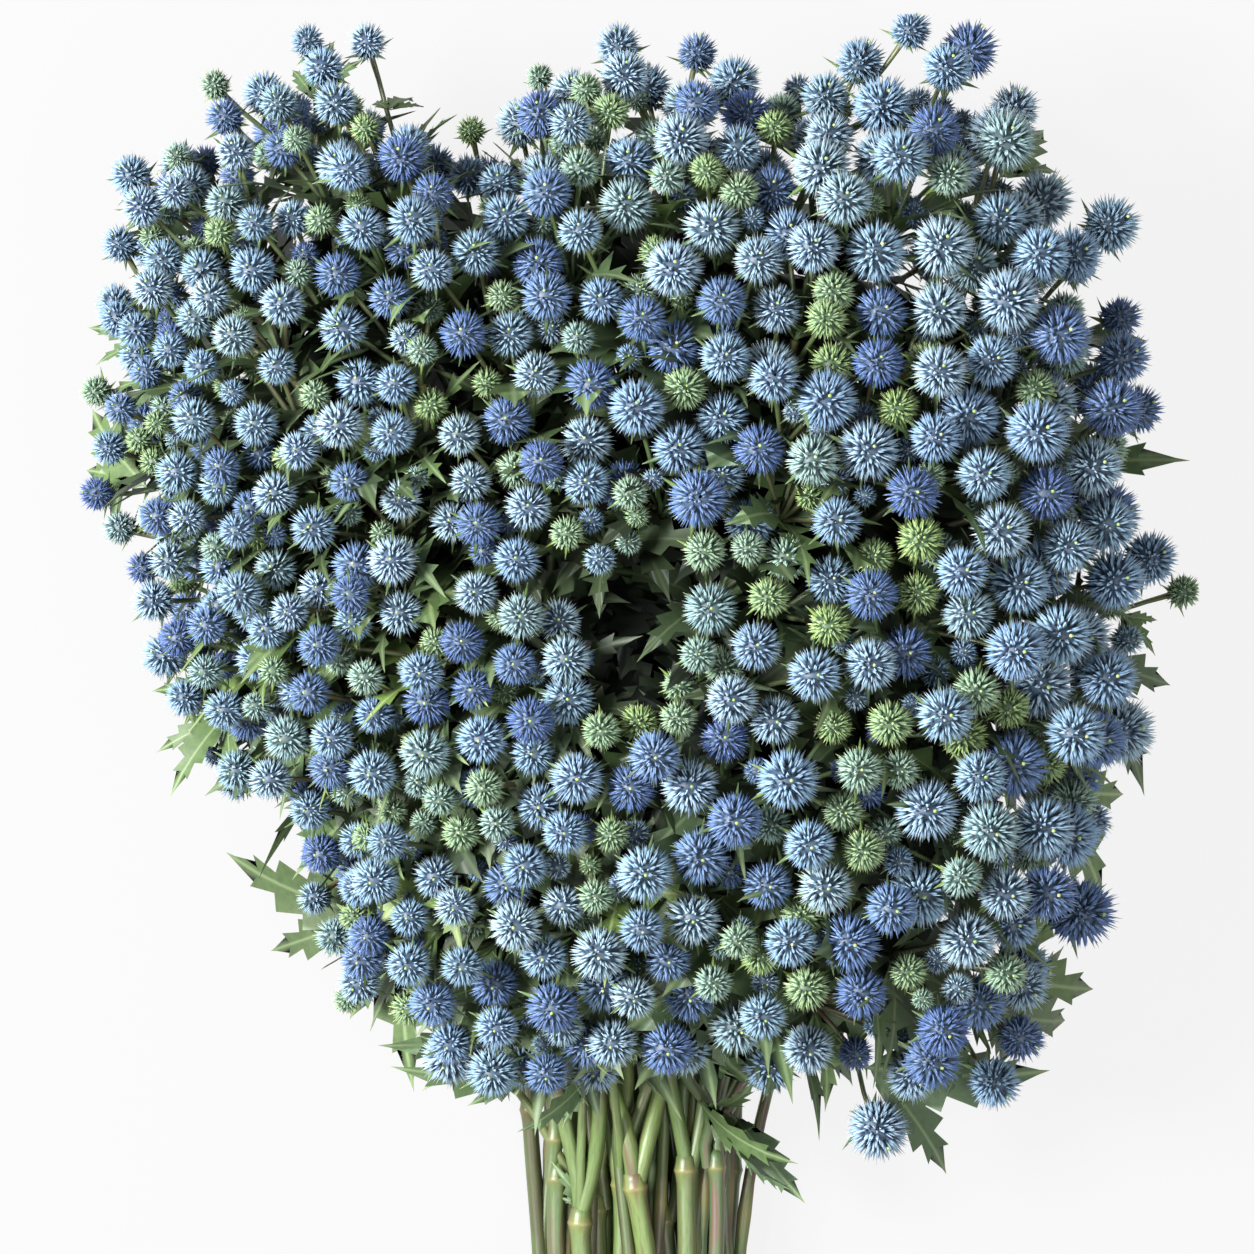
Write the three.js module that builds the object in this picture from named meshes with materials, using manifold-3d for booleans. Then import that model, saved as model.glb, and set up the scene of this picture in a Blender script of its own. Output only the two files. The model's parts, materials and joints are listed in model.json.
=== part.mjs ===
// A gathered bunch of cut sea holly stems (Eryngium planum), lying on its back on a flat surface.
//
// Millimetres. +Y runs from the cut ends to the flower heads, +X is the bunch's right seen from above,
// and +Z is up from the surface at z = 0. The origin is on the surface, under the middle of the bunch.
//
// Every cut stem is one mesh: a stalk that forks into branches, each branch into cymes (small clusters),
// and each cyme into stalklets with one spiky head each. Half of the stalks first divide into two leaders
// below the mass. The heads are spread over a dome by a seeded draw, shared out among the stems, and the
// whole tree is then pushed apart until nothing touches. Leaves go where there is room for them.
import * as THREE from 'three';
import Module from 'manifold-3d';

const wasm = await Module();
wasm.setup();

const V = (x, y, z) => new THREE.Vector3(x, y, z);
const degrees = THREE.MathUtils.degToRad;
const TURN = 2 * Math.PI;

// ---- Driving dimensions --------------------------------------------------------------------------

// The frame's origin, in the coordinates that all the dimensions below are given in.
const ORIGIN = V(3.95, -115.75, 0);

const SEED = 20261;
const STEM_COUNT = 20;

// The flower mass: a flattened dome round MASS_CENTRE. OUTLINE gives its reach from the centre, seen
// from above, as [angle in degrees from +X, radius].
const MASS_CENTRE = V(2, 16, 86);
const MASS_TOP = 100;
const MASS_BOTTOM = 80;
const MASS_POWER = 2.5;
const OUTLINE = [
  [0, 176], [20, 190], [40, 203], [57, 219], [72, 180], [95, 183], [113, 158], [122, 216], [140, 221],
  [160, 198], [180, 172], [200, 163], [220, 152], [240, 176], [252, 184], [270, 174], [290, 182],
  [308, 212], [325, 190], [342, 184],
];

// The open dark gap near the middle of the mass, as an ellipse seen from above.
const GAP = { x: 1, y: 6, halfWidth: 15, halfHeight: 30, turn: degrees(8) };

// Flower heads.
const HEAD_COUNT = 590;
const HEAD_DRAWS = 14; // places tried for each head, of which the roomiest is taken
const FACE_SHARE = 0.76; // the share of heads drawn for the face of the mass, the rest for its side
const SIDE_UP = 0.75; // how far up and down the side reaches, as shares of the mass's height
const SIDE_DOWN = 0.86;
const HEAD_RADIUS_LEFT = 7.4;
const HEAD_RADIUS_RIGHT = 10.6;
const HEAD_SPREAD = 0.24; // the share by which one head's size differs from the next
const BUD_SHARE = 0.13; // young heads, which are smaller and sit deeper
const BUD_SCALE = 0.74;
const BUD_DEPTH = 4;
const BUD_RADIUS = 6.5; // a proud head smaller than this is a young one
const LAYER_DEPTH = 20; // how far below the surface of the mass the deepest heads sit
const DEPTH_POWER = 1.3; // above 1, more heads sit near the surface
const SPIKE_RISE = degrees(16); // the spikes round a head's side, above its middle
const DIMPLE_RISE = degrees(-22);
const DIMPLE = 0.7; // distance of the dimples from the head's centre, as a share of its radius
const HEAD_BASE = 0.6; // where the stalklet meets the head, likewise
const STALKLET_ROOM = 3.2; // how far a stalklet passes from the head beside it
const STALKLET_REACH = 60;
const FACING_CENTRE = V(2, -15, 48); // heads face away from here
const FACING_DROOP = 0.5; // heads below it turn this much less towards the cut ends

// Single heads that stand out past the mass: [x, y, z, radius].
const PROUD_HEADS = [
  [-167, 153, 96, 8.2], [-174, 110, 84, 8.0], [-181, 45, 78, 7.0], [-180, 80, 92, 6.2],
  [-156, -11, 92, 9.0], [-140, -32, 74, 8.5], [164, 136, 92, 10.0], [170, -39, 84, 11.5],
  [177, 23, 96, 9.4], [190, 12, 80, 6.0], [174, 74, 84, 8.6], [169, 106, 72, 7.4],
  [86, -172, 70, 11.0], [-60, -146, 92, 10.4], [-96, -128, 66, 5.6], [127, -154, 72, 9.2],
  [154, -97, 88, 12.0], [159, -63, 66, 7.2], [-110, 200, 78, 6.6], [-88, 198, 96, 7.2],
  [-140, 185, 84, 6.0], [-30, 187, 88, 5.2], [-3, 197, 92, 8.2], [24, 196, 78, 7.4],
  [96, 203, 90, 7.2], [117, 197, 76, 10.0], [80, 192, 82, 8.8], [132, 176, 84, 8.8],
  [153, 124, 80, 8.0], [-174, 34, 70, 7.0], [-165, 20, 82, 6.6], [-53, 169, 86, 5.5],
  [134, -143, 68, 8.5], [97, -153, 84, 9.0], [-107, -93, 72, 6.8],
];

// Three heads face straight down and carry the mass on their flattened tips: [x, y].
const RESTING_HEADS = [[-78, 56], [82, 48], [6, -84]];
const RESTING_RADIUS = 8.4;
const RESTING_HEIGHT = 0.8; // height of such a head's centre, as a share of its radius
const LYING_HEIGHT = 0.93; // the least height of every other head's centre, likewise

// The forks, from the stalk's outwards: how deep below its heads each lies, its thickness, and how many
// heads each of its limbs carries.
const FORKS = [
  { depth: 92, radius: 3.3, headsALimb: 8 },
  { depth: 60, radius: 2.3, headsALimb: 3.7 },
  { depth: 31, radius: 1.9, headsALimb: 1 },
];
const DEEP_BEND = 34; // the stalk's fork lies this much nearer the cut ends
const FORK_PEAK = 0.8; // height of the peak between a fork's limbs, as a share of its radius
const FORK_LEAN = 0.3; // how much a fork leans the way its stalk comes, against the way its limbs go
const FORK_TURN_LEAN = 0.5; // likewise where its limbs turn back
const FORK_EASE = 0.5; // how far a fork's corners move towards an even share of the circle
const GRAFT_TURN = degrees(24); // limbs that leave closer together than this start inside the fork
const GRAFT_RADIUS = 1.0;

// The stalks.
const NECK_Y = -190; // where the stalks gather below the mass
const CUT_Y = -432;
const CUT_STAGGER = 9;
const BUNDLE_X = 4.6; // the middle of the bundle
const BUNDLE_HALF_WIDTH = 41;
const BUNDLE_LAYERS = 4;
const BUNDLE_FLARE = 1.14; // the bundle is this much wider at the cut ends
const MIDDLE_FLARE = 1.03; // and this much half way to the neck
const BUNDLE_HEIGHT = 40; // heads stay out of the bundle up to this height
const BUNDLE_REACH = 82; // and this far past the neck
const LAYER_HEIGHT = 7.6; // from one layer of stalks to the next
const LAYER_NARROWING = 0.1;
const LAYER_STAGGER = 0.2;
const LAYER_SPREAD_MIDDLE = 0.4; // the layers lie this much further apart half way to the neck
const LAYER_SPREAD_NECK = 1;
const LAYER_SLOPE = 0.25; // how far a stem's reach past the neck counts against its height
const NECK_RISE = 2;
const STALK_RADIUS_CUT = 3.7;
const STALK_RADIUS_TOP = 2.9;
const STALK_SIDES = 5;
const STALK_STEPS = 4; // path steps from the neck to the first fork
const STALK_REST = 0.81; // height of a lying stalk's axis, as a share of its radius
const STALK_MOVE = 0.6; // a stalk gives way this much, where a twig gives way fully
const DIVIDING_LAYER = 2; // from this layer up, a stalk divides into two leaders at its neck
const DIVIDING_DROP = [-8, 20]; // the range by which such a neck lies nearer the cut end
const LEADER_RADIUS = 2.9;
const LEADER_SPREAD = 22; // how far the two leaders' curves are drawn apart
// The bend from the neck to the first fork, as shares of the distance between them.
const BEND = { sideways: 0.15, onwards: 0.42, upwards: 0.02, inwards: 0.25, back: 0.12 };
const STALKLET_RADIUS = 1.0;

// Leaves.
const LEAF_LIMIT = 33;
const LEAF_RIB = 0.9; // half the thickness at the midrib
const LEAF_WIDTH = 0.27; // half width as a share of the length
const LEAF_LENGTH = 44;
const LEAF_SPREAD = 0.4; // the share by which one leaf's length differs from the next
const LEAF_SIDEWAYS = 0.75; // how far a leaf reaches across and along the way the heads face
const LEAF_OUTWARDS = 0.6;
const LEAF_SHORTEST = 16;
const LEAF_LONGEST = 75;
const LEAF_HEIGHT = 5; // the least height of a leaf's tip
const LEAF_TRIES = 3;
const LEAF_ROOM = 0.9; // the least room beside a leaf
const LEAF_FLANK = 0.72; // the share of its half width that a leaf keeps clear
const LEAF_END = 0.1; // its width at the ends, as a share of that in the middle
const LEAF_FOOT = 0.15; // the first part of a leaf may touch its own stem
const LEAF_APART = 5; // the least distance between the midribs of two leaves
// One edge of the cut blade, from base to tip: [share of the length, share of the half width].
const LEAF_EDGE = [[0.3, 0.72], [0.38, 0.26], [0.62, 1.0], [0.68, 0.26]];
const LEAF_RIBS = [0.36, 0.67]; // where the midrib is thickest
const LEAF_BELOW_FORK = 10;
const LEAF_UP_STALKLET = 0.55; // how far up its stalklet a leaf on one starts
const LEAF_ROOT = 0.8; // thickness at the root, as a share of that at the midrib
const LEAF_ARCH = 0.09; // height of the blade's arch, as a share of its length
// Leaves that show round the edge of the mass: [x, y] of the tip, and the heights that are tried for it.
const LEAF_TIPS = [
  [-172, 137], [-186, 103], [-186, 76], [-186, 42], [-180, 29], [-163, -22], [-155, -58], [-141, -79],
  [-112, -81], [-107, -108], [-86, -144], [-82, -152], [-74, -162], [-38, -174], [57, -193], [59, -184],
  [108, -163], [148, -155], [155, -139], [165, -128], [168, -98], [180, -59], [181, -10], [193, 57],
  [175, 90], [145, 173], [-73, 180], [-101, 203],
];
const LEAF_TIP_HEIGHTS = [76, 66, 56, 46, 96, 36, 26, 14];

// The tree is pushed apart in steps until all parts clear one another.
const CLEARANCE = 0.7;
const UNTANGLE_STEPS = 140;
const NEIGHBOUR_STEPS = 10; // how often the list of near pairs is made again
const NEIGHBOUR_REACH = 14;
const FORK_SHARE = 0.5; // limbs of one fork may lie this close to it without clearing each other

// ---- Seeded draws and small helpers --------------------------------------------------------------

function seededDraw(seed) {
  let state = seed;
  return () => {
    state = (state + 0x6d2b79f5) | 0;
    let mixed = Math.imul(state ^ (state >>> 15), state | 1);
    mixed ^= mixed + Math.imul(mixed ^ (mixed >>> 7), mixed | 61);
    return ((mixed ^ (mixed >>> 14)) >>> 0) / 4294967296;
  };
}

const mix = (a, b, t) => a + (b - a) * t;
const clamp = (value) => Math.min(1, Math.max(0, value));

function outlineRadius(angle) {
  const turn = ((angle * 180) / Math.PI + 360) % 360;
  let index = OUTLINE.length - 1;
  while (OUTLINE[index][0] > turn) index -= 1;
  const [startAngle, startRadius] = OUTLINE[index];
  const [endAngle, endRadius] = OUTLINE[(index + 1) % OUTLINE.length];
  const share = (turn - startAngle) / ((endAngle - startAngle + 360) % 360);
  return mix(startRadius, endRadius, (1 - Math.cos(Math.PI * share)) / 2);
}

function facing(point) {
  const away = point.clone().sub(FACING_CENTRE);
  if (away.y < 0) away.y *= FACING_DROOP;
  return away.normalize();
}

function inGap(point, margin) {
  const dx = point.x - GAP.x;
  const dy = point.y - GAP.y;
  const across = (dx * Math.cos(GAP.turn) + dy * Math.sin(GAP.turn)) / (GAP.halfWidth + margin);
  const along = (dy * Math.cos(GAP.turn) - dx * Math.sin(GAP.turn)) / (GAP.halfHeight + margin);
  return point.z > MASS_CENTRE.z && across ** 2 + along ** 2 < 1;
}

const inBundle = (point, margin) =>
  point.y < NECK_Y + BUNDLE_REACH
  && Math.abs(point.x - BUNDLE_X) < BUNDLE_HALF_WIDTH + margin
  && point.z < BUNDLE_HEIGHT + margin;

// ---- Flower heads --------------------------------------------------------------------------------

function headRadius(x, random) {
  const share = clamp((x + 180) / 360);
  const spread = 1 + HEAD_SPREAD * (random() - 0.5);
  return mix(HEAD_RADIUS_LEFT, HEAD_RADIUS_RIGHT, share) * spread;
}

// How much room two heads leave each other: between them, and beside the inner one for the stalklet of
// the outer one.
function roomBetween(one, other) {
  const apart = other.point.clone().sub(one.point);
  const outward = apart.dot(one.facing);
  const inner = outward < 0 ? other : one;
  const sideways = Math.sqrt(Math.max(0, apart.lengthSq() - outward ** 2));
  const beside = Math.abs(outward) > STALKLET_REACH ? Infinity : sideways - inner.radius - STALKLET_ROOM;
  return Math.min(apart.length() - one.radius - other.radius, beside);
}

// The reach of the dome at a share of its height, and its height at a share of its reach.
const domeLevel = (share) => (1 - share ** MASS_POWER) ** (1 / MASS_POWER);

// A place on the surface of the flower mass, relative to its centre. A draw for the face is even as seen
// from above, and a draw for the side is even over its height.
function drawPlace(random, onFace) {
  const share = random();
  const angle = TURN * random();
  const height = onFace ? 0 : mix(-SIDE_DOWN * MASS_BOTTOM, SIDE_UP * MASS_TOP, share);
  const limit = height > 0 ? MASS_TOP : MASS_BOTTOM;
  const level = onFace ? Math.sqrt(share) : domeLevel(Math.abs(height) / limit);
  const z = onFace ? MASS_TOP * domeLevel(level) : height;
  const reach = level * outlineRadius(angle);
  return V(reach * Math.cos(angle), reach * Math.sin(angle), z);
}

function drawHead(random, onFace) {
  const place = drawPlace(random, onFace);
  const young = random() < BUD_SHARE;
  const radius = headRadius(MASS_CENTRE.x + place.x, random) * (young ? BUD_SCALE : 1);
  const depth = LAYER_DEPTH * random() ** DEPTH_POWER + (young ? BUD_DEPTH : 0);
  const point = place.setLength(Math.max(place.length() - radius - depth, 0)).add(MASS_CENTRE);
  point.z = Math.max(point.z, LYING_HEIGHT * radius);
  return { point, radius, young, facing: facing(point), held: false };
}

function makeHeads() {
  const random = seededDraw(SEED);
  const heads = RESTING_HEADS.map(([x, y]) => ({
    point: V(x, y, RESTING_HEIGHT * RESTING_RADIUS),
    radius: RESTING_RADIUS, young: false, facing: V(0, 0, -1), held: true,
  }));
  for (const [x, y, z, radius] of PROUD_HEADS) {
    const point = V(x, y, z);
    heads.push({ point, radius, young: radius < BUD_RADIUS, facing: facing(point), held: false });
  }
  while (heads.length < HEAD_COUNT) {
    const onFace = random() < FACE_SHARE;
    let best = null;
    for (let draw = 0; draw < HEAD_DRAWS; draw += 1) {
      const head = drawHead(random, onFace);
      const barred = inGap(head.point, head.radius) || inBundle(head.point, head.radius);
      head.room = barred ? -Infinity : Math.min(...heads.map((other) => roomBetween(other, head)));
      if (!best || head.room > best.room) best = head;
    }
    heads.push(best);
  }
  return heads;
}

// ---- Sharing the heads out: bunch into stems, stems into branches, branches into cymes -----------

// Halves a set of heads across its widest side until there are as many sets as asked for.
function shareOut(members, heads, count) {
  if (count <= 1) return [members];
  const box = new THREE.Box3().setFromPoints(members.map((index) => heads[index].point));
  const size = box.getSize(V(0, 0, 0)).toArray();
  const axis = size.indexOf(Math.max(...size));
  const along = (index) => heads[index].point.getComponent(axis);
  const sorted = [...members].sort((a, b) => along(a) - along(b));
  const first = Math.floor(count / 2);
  const cut = Math.round((sorted.length * first) / count);
  return [
    ...shareOut(sorted.slice(0, cut), heads, first),
    ...shareOut(sorted.slice(cut), heads, count - first),
  ];
}

// The point that lies a given depth below a set of heads, bent towards the cut ends as it gets deeper.
function below(members, heads, depth) {
  const point = V(0, 0, 0);
  const out = V(0, 0, 0);
  for (const index of members) {
    point.addScaledVector(heads[index].point, 1 / members.length);
    out.add(heads[index].facing);
  }
  point.addScaledVector(out.normalize(), -depth);
  point.y -= DEEP_BEND * (depth / FORKS[0].depth) ** 2;
  return point;
}

// ---- The tree of points and links ----------------------------------------------------------------

// Places for the stalks in the bundle, lowest layer first, each layer from left to right.
function bundlePlaces() {
  const places = [];
  const perLayer = STEM_COUNT / BUNDLE_LAYERS;
  for (let layer = 0; layer < BUNDLE_LAYERS; layer += 1) {
    const narrowing = 1 - LAYER_NARROWING * layer;
    const stagger = layer % 2 ? LAYER_STAGGER : -LAYER_STAGGER;
    for (let place = 0; place < perLayer; place += 1) {
      const share = (place + 0.5 + stagger) / perLayer;
      places.push({ x: (2 * share - 1) * BUNDLE_HALF_WIDTH * narrowing, layer });
    }
  }
  return places;
}

// Low and far stems take the lower layers, and within a layer they keep their order from left to right.
function assignPlaces(forks) {
  const places = bundlePlaces();
  const perLayer = STEM_COUNT / BUNDLE_LAYERS;
  const height = (index) => forks[index].z - LAYER_SLOPE * forks[index].y;
  const sideways = (index) => Math.atan2(forks[index].x, forks[index].y - NECK_Y);
  const byHeight = forks.map((_, index) => index).sort((a, b) => height(a) - height(b));
  const assigned = new Array(forks.length);
  for (let layer = 0; layer < BUNDLE_LAYERS; layer += 1) {
    const members = byHeight.slice(layer * perLayer, (layer + 1) * perLayer);
    members.sort((a, b) => sideways(a) - sideways(b));
    members.forEach((index, place) => {
      assigned[index] = places[layer * perLayer + place];
    });
  }
  return assigned;
}

// The lying part of a stalk: its cut end, its middle and its neck, where it starts to rise.
function lyingPath({ x, layer }, neckY, random) {
  const height = STALK_REST * STALK_RADIUS_CUT + LAYER_HEIGHT * layer;
  const cutY = CUT_Y + CUT_STAGGER * (2 * random() - 1);
  const cut = V(BUNDLE_X + x * BUNDLE_FLARE, cutY, height);
  const middle = V(BUNDLE_X + x * MIDDLE_FLARE, (CUT_Y + NECK_Y) / 2, height + LAYER_SPREAD_MIDDLE * layer);
  const neck = V(BUNDLE_X + x, neckY, height + NECK_RISE + LAYER_SPREAD_NECK * layer);
  return [cut, middle, neck];
}

// The rest of a stalk, or one of its two leaders, from the neck to a fork.
function risingPath(neck, fork, sideways) {
  const reach = neck.distanceTo(fork);
  const leave = neck.clone().add(V(sideways, BEND.onwards * reach, BEND.upwards * reach));
  const arrive = fork.clone().addScaledVector(facing(fork), -BEND.inwards * reach);
  arrive.y -= BEND.back * reach;
  const curve = new THREE.CubicBezierCurve3(neck, leave, arrive, fork);
  return Array.from({ length: STALK_STEPS }, (_, step) => curve.getPoint((step + 1) / STALK_STEPS));
}

// Points carry their mobility, links their end radii. A head is a link from a point to itself. A limb is
// a fork with further limbs, or a head.
function makeTree(heads) {
  const random = seededDraw(SEED + 1);
  const points = heads.map(({ point, radius, held }) => ({ at: point.clone(), radius, move: held ? 0 : 1 }));
  const links = [];
  const addPoint = (at, radius, move) => points.push({ at, radius, move }) - 1;
  const topOf = (members) => below(members, heads, FORKS[0].depth);

  function growLimb(members, level, stem, parent, parentRadius) {
    const addLink = (a, b, radiusA, radiusB) => links.push({ a, b, radiusA, radiusB, stem });
    if (level === FORKS.length) {
      const [head] = members;
      addLink(parent, head, parentRadius, STALKLET_RADIUS);
      addLink(head, head, heads[head].radius, heads[head].radius);
      return { at: head, headRadius: heads[head].radius, limbs: [] };
    }
    const { depth, radius, headsALimb } = FORKS[level];
    const at = level === 0 ? parent : addPoint(below(members, heads, depth), radius, 1);
    if (level > 0) addLink(parent, at, parentRadius, radius);
    const shares = shareOut(members, heads, Math.round(members.length / headsALimb));
    return { at, radius, parent, limbs: shares.map((share) => growLimb(share, level + 1, stem, at, radius)) };
  }

  // Adds points to the end of a path, each linked to the one before it.
  function extend(path, places, radius, stem, move = STALK_MOVE) {
    for (const at of places) {
      const next = addPoint(at, radius, move);
      links.push({ a: path[path.length - 1], b: next, radiusA: radius, radiusB: radius, stem });
      path.push(next);
    }
    return path;
  }

  // One of the two leaders of a stalk that divides at its neck, as limbs with one limb each.
  function growLeader(members, neck, sideways, stem) {
    const steps = risingPath(points[neck].at, topOf(members), sideways);
    const path = extend([neck], steps, LEADER_RADIUS, stem);
    let limb = growLimb(members, 0, stem, path[path.length - 1], FORKS[0].radius);
    for (let step = path.length - 2; step > 0; step -= 1) {
      limb = { at: path[step], radius: LEADER_RADIUS, parent: path[step - 1], limbs: [limb] };
    }
    return limb;
  }

  function growStem(members, place, stem) {
    const divides = place.layer >= DIVIDING_LAYER;
    const neckY = NECK_Y - (divides ? mix(...DIVIDING_DROP, random()) : 0);
    const [cut, middle, neck] = lyingPath(place, neckY, random);
    const path = [addPoint(cut, STALK_RADIUS_CUT, 0)];
    extend(path, [middle], STALK_RADIUS_CUT, stem, 0);
    extend(path, [neck], STALK_RADIUS_CUT, stem);
    const sideways = BEND.sideways * place.x;
    if (!divides) {
      extend(path, risingPath(neck, topOf(members), sideways), STALK_RADIUS_CUT, stem);
      return { path, fork: growLimb(members, 0, stem, path[path.length - 1], FORKS[0].radius) };
    }
    const at = path[path.length - 1];
    const halves = shareOut(members, heads, 2).sort((a, b) => topOf(a).x - topOf(b).x);
    const limbs = [-1, 1].map((side, k) =>
      growLeader(halves[k], at, sideways + side * LEADER_SPREAD, stem));
    return { path, fork: { at, radius: FORKS[0].radius, parent: at, limbs } };
  }

  const groups = shareOut(heads.map((_, index) => index), heads, STEM_COUNT);
  const places = assignPlaces(groups.map(topOf));
  const stems = groups.map((members, stem) => growStem(members, places[stem], stem));
  return { points, links, stems };
}

// ---- Pushing the tree apart ----------------------------------------------------------------------

// Where two links come closest, as shares along each, and the vector between those places. The first
// part of both, up to the share `from`, isn't looked at.
function closest(points, one, other, from = 0) {
  const along = points[one.b].at.clone().sub(points[one.a].at);
  const otherAlong = points[other.b].at.clone().sub(points[other.a].at);
  const start = points[one.a].at.clone().addScaledVector(along, from);
  const otherStart = points[other.a].at.clone().addScaledVector(otherAlong, from);
  along.multiplyScalar(1 - from);
  otherAlong.multiplyScalar(1 - from);
  const offset = start.sub(otherStart);
  const a = Math.max(along.lengthSq(), 1e-9);
  const e = Math.max(otherAlong.lengthSq(), 1e-9);
  const b = along.dot(otherAlong);
  const c = along.dot(offset);
  const f = otherAlong.dot(offset);
  const spread = a * e - b * b;
  const guess = spread > 1e-9 ? clamp((b * f - c * e) / spread) : 0.5;
  const t = clamp((b * guess + f) / e);
  const s = clamp((b * t - c) / a);
  const between = offset.addScaledVector(along, s).addScaledVector(otherAlong, -t);
  const distance = Math.max(between.length(), 1e-6);
  return { s: mix(from, 1, s), t: mix(from, 1, t), between, distance };
}

// Links that leave the same fork clear each other past its first part. Other joined links aren't paired.
function pairStart(one, other) {
  const heads = one.a === one.b || other.a === other.b;
  if (!heads && one.a === other.a) return FORK_SHARE;
  const joined = one.a === other.a || one.a === other.b || one.b === other.a || one.b === other.b;
  return joined ? null : 0;
}

function nearPairs(points, links) {
  const pairs = [];
  const boxes = links.map(({ a, b }) =>
    new THREE.Box3().setFromPoints([points[a].at, points[b].at]).expandByScalar(NEIGHBOUR_REACH));
  for (let first = 0; first < links.length; first += 1) {
    for (let second = first + 1; second < links.length; second += 1) {
      const from = pairStart(links[first], links[second]);
      if (from !== null && boxes[first].intersectsBox(boxes[second])) {
        pairs.push([links[first], links[second], from]);
      }
    }
  }
  return pairs;
}

function pushApart(points, [one, other, from], shifts) {
  const { s, t, between, distance } = closest(points, one, other, from);
  const needed = mix(one.radiusA, one.radiusB, s) + mix(other.radiusA, other.radiusB, t) + CLEARANCE;
  if (distance >= needed) return;
  between.multiplyScalar((0.5 * (needed - distance)) / distance);
  const ends = [[one.a, 1 - s], [one.b, s], [other.a, t - 1], [other.b, -t]];
  for (const [index, share] of ends) shifts[index].addScaledVector(between, share * points[index].move);
}

function untangle({ points, links }) {
  let pairs = [];
  for (let step = 0; step < UNTANGLE_STEPS; step += 1) {
    if (step % NEIGHBOUR_STEPS === 0) pairs = nearPairs(points, links);
    const shifts = points.map(() => V(0, 0, 0));
    for (const pair of pairs) pushApart(points, pair, shifts);
    points.forEach((point, index) => {
      point.at.add(shifts[index]);
      if (point.move > 0) point.at.z = Math.max(point.at.z, LYING_HEIGHT * point.radius);
    });
  }
}

// ---- Meshes --------------------------------------------------------------------------------------

class Shell {
  constructor() {
    this.corners = [];
    this.faces = [];
  }

  add(point) {
    return this.corners.push(point) - 1;
  }

  face(a, b, c) {
    this.faces.push([a, b, c]);
  }

  solid() {
    const vertProperties = new Float32Array(this.corners.flatMap((corner) => corner.toArray()));
    const triVerts = new Uint32Array(this.faces.flat());
    return new wasm.Manifold(new wasm.Mesh({ numProp: 3, vertProperties, triVerts }));
  }
}

// Two directions square to an axis, for measuring turns about it.
function basis(axis) {
  const helper = Math.abs(axis.z) < 0.9 ? V(0, 0, 1) : V(1, 0, 0);
  const u = helper.cross(axis).normalize();
  return { u, v: axis.clone().cross(u) };
}

const turnAbout = ({ u, v }, direction) => Math.atan2(direction.dot(v), direction.dot(u));

const around = (centre, { u, v }, radius, turn) =>
  centre.clone().addScaledVector(u, radius * Math.cos(turn)).addScaledVector(v, radius * Math.sin(turn));

function ringOf(shell, centre, frame, radius, turns) {
  return turns.map((turn) => shell.add(around(centre, frame, radius, turn)));
}

const evenTurns = (count, start = 0) => Array.from({ length: count }, (_, k) => start + (TURN * k) / count);

function capOf(shell, ring, facesBack) {
  for (let k = 1; k + 1 < ring.length; k += 1) {
    if (facesBack) shell.face(ring[0], ring[k + 1], ring[k]);
    else shell.face(ring[0], ring[k], ring[k + 1]);
  }
}

// Joins two rings that run the same way round, measured by their turns about the upper ring's axis.
function stitch(shell, low, lowTurns, high, highTurns) {
  const ahead = (turn, from) => (((turn - from) % TURN) + TURN) % TURN;
  const gap = (k) => Math.min(ahead(highTurns[k], lowTurns[0]), ahead(lowTurns[0], highTurns[k]));
  const start = highTurns.reduce((best, _, k) => (gap(k) < gap(best) ? k : best), 0);
  const lowAt = (k) => (k < low.length ? ahead(lowTurns[k], lowTurns[0]) : TURN);
  const highTurn = (k) => highTurns[(start + k) % high.length];
  const highAt = (k) => (k < high.length ? ahead(highTurn(k), highTurn(0)) : TURN);
  const lead = ahead(highTurns[start], lowTurns[0] - Math.PI) - Math.PI;
  let i = 0;
  let j = 0;
  while (i < low.length || j < high.length) {
    const lowCorner = low[i % low.length];
    const highCorner = high[(start + j) % high.length];
    if (j >= high.length || (i < low.length && lowAt(i + 1) < highAt(j + 1) + lead)) {
      shell.face(lowCorner, low[(i + 1) % low.length], highCorner);
      i += 1;
    } else {
      shell.face(lowCorner, high[(start + j + 1) % high.length], highCorner);
      j += 1;
    }
  }
}

// A spiky head grown from the three corners at the top of its stalklet: one spike onwards, three round
// its side, and three dimples between them.
function addHead(shell, base, baseTurn, centre, axis, radius) {
  const frame = basis(axis);
  const place = (turn, rise, reach) =>
    around(centre, frame, reach * Math.cos(rise), turn).addScaledVector(axis, reach * Math.sin(rise));
  const apex = shell.add(place(0, Math.PI / 2, radius));
  const dimples = evenTurns(3, baseTurn).map((turn) => shell.add(place(turn, DIMPLE_RISE, DIMPLE * radius)));
  for (let k = 0; k < 3; k += 1) {
    const next = (k + 1) % 3;
    const tip = shell.add(place(baseTurn + (TURN * (k + 0.5)) / 3, SPIKE_RISE, radius));
    shell.face(apex, dimples[k], tip);
    shell.face(dimples[k], dimples[next], tip);
    shell.face(dimples[next], apex, tip);
    shell.face(dimples[k], base[k], base[next]);
    shell.face(dimples[k], base[next], dimples[next]);
  }
}

function middleOf(shell, ring) {
  const sum = ring.reduce((total, corner) => total.add(shell.corners[corner]), V(0, 0, 0));
  return sum.divideScalar(ring.length);
}

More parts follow.
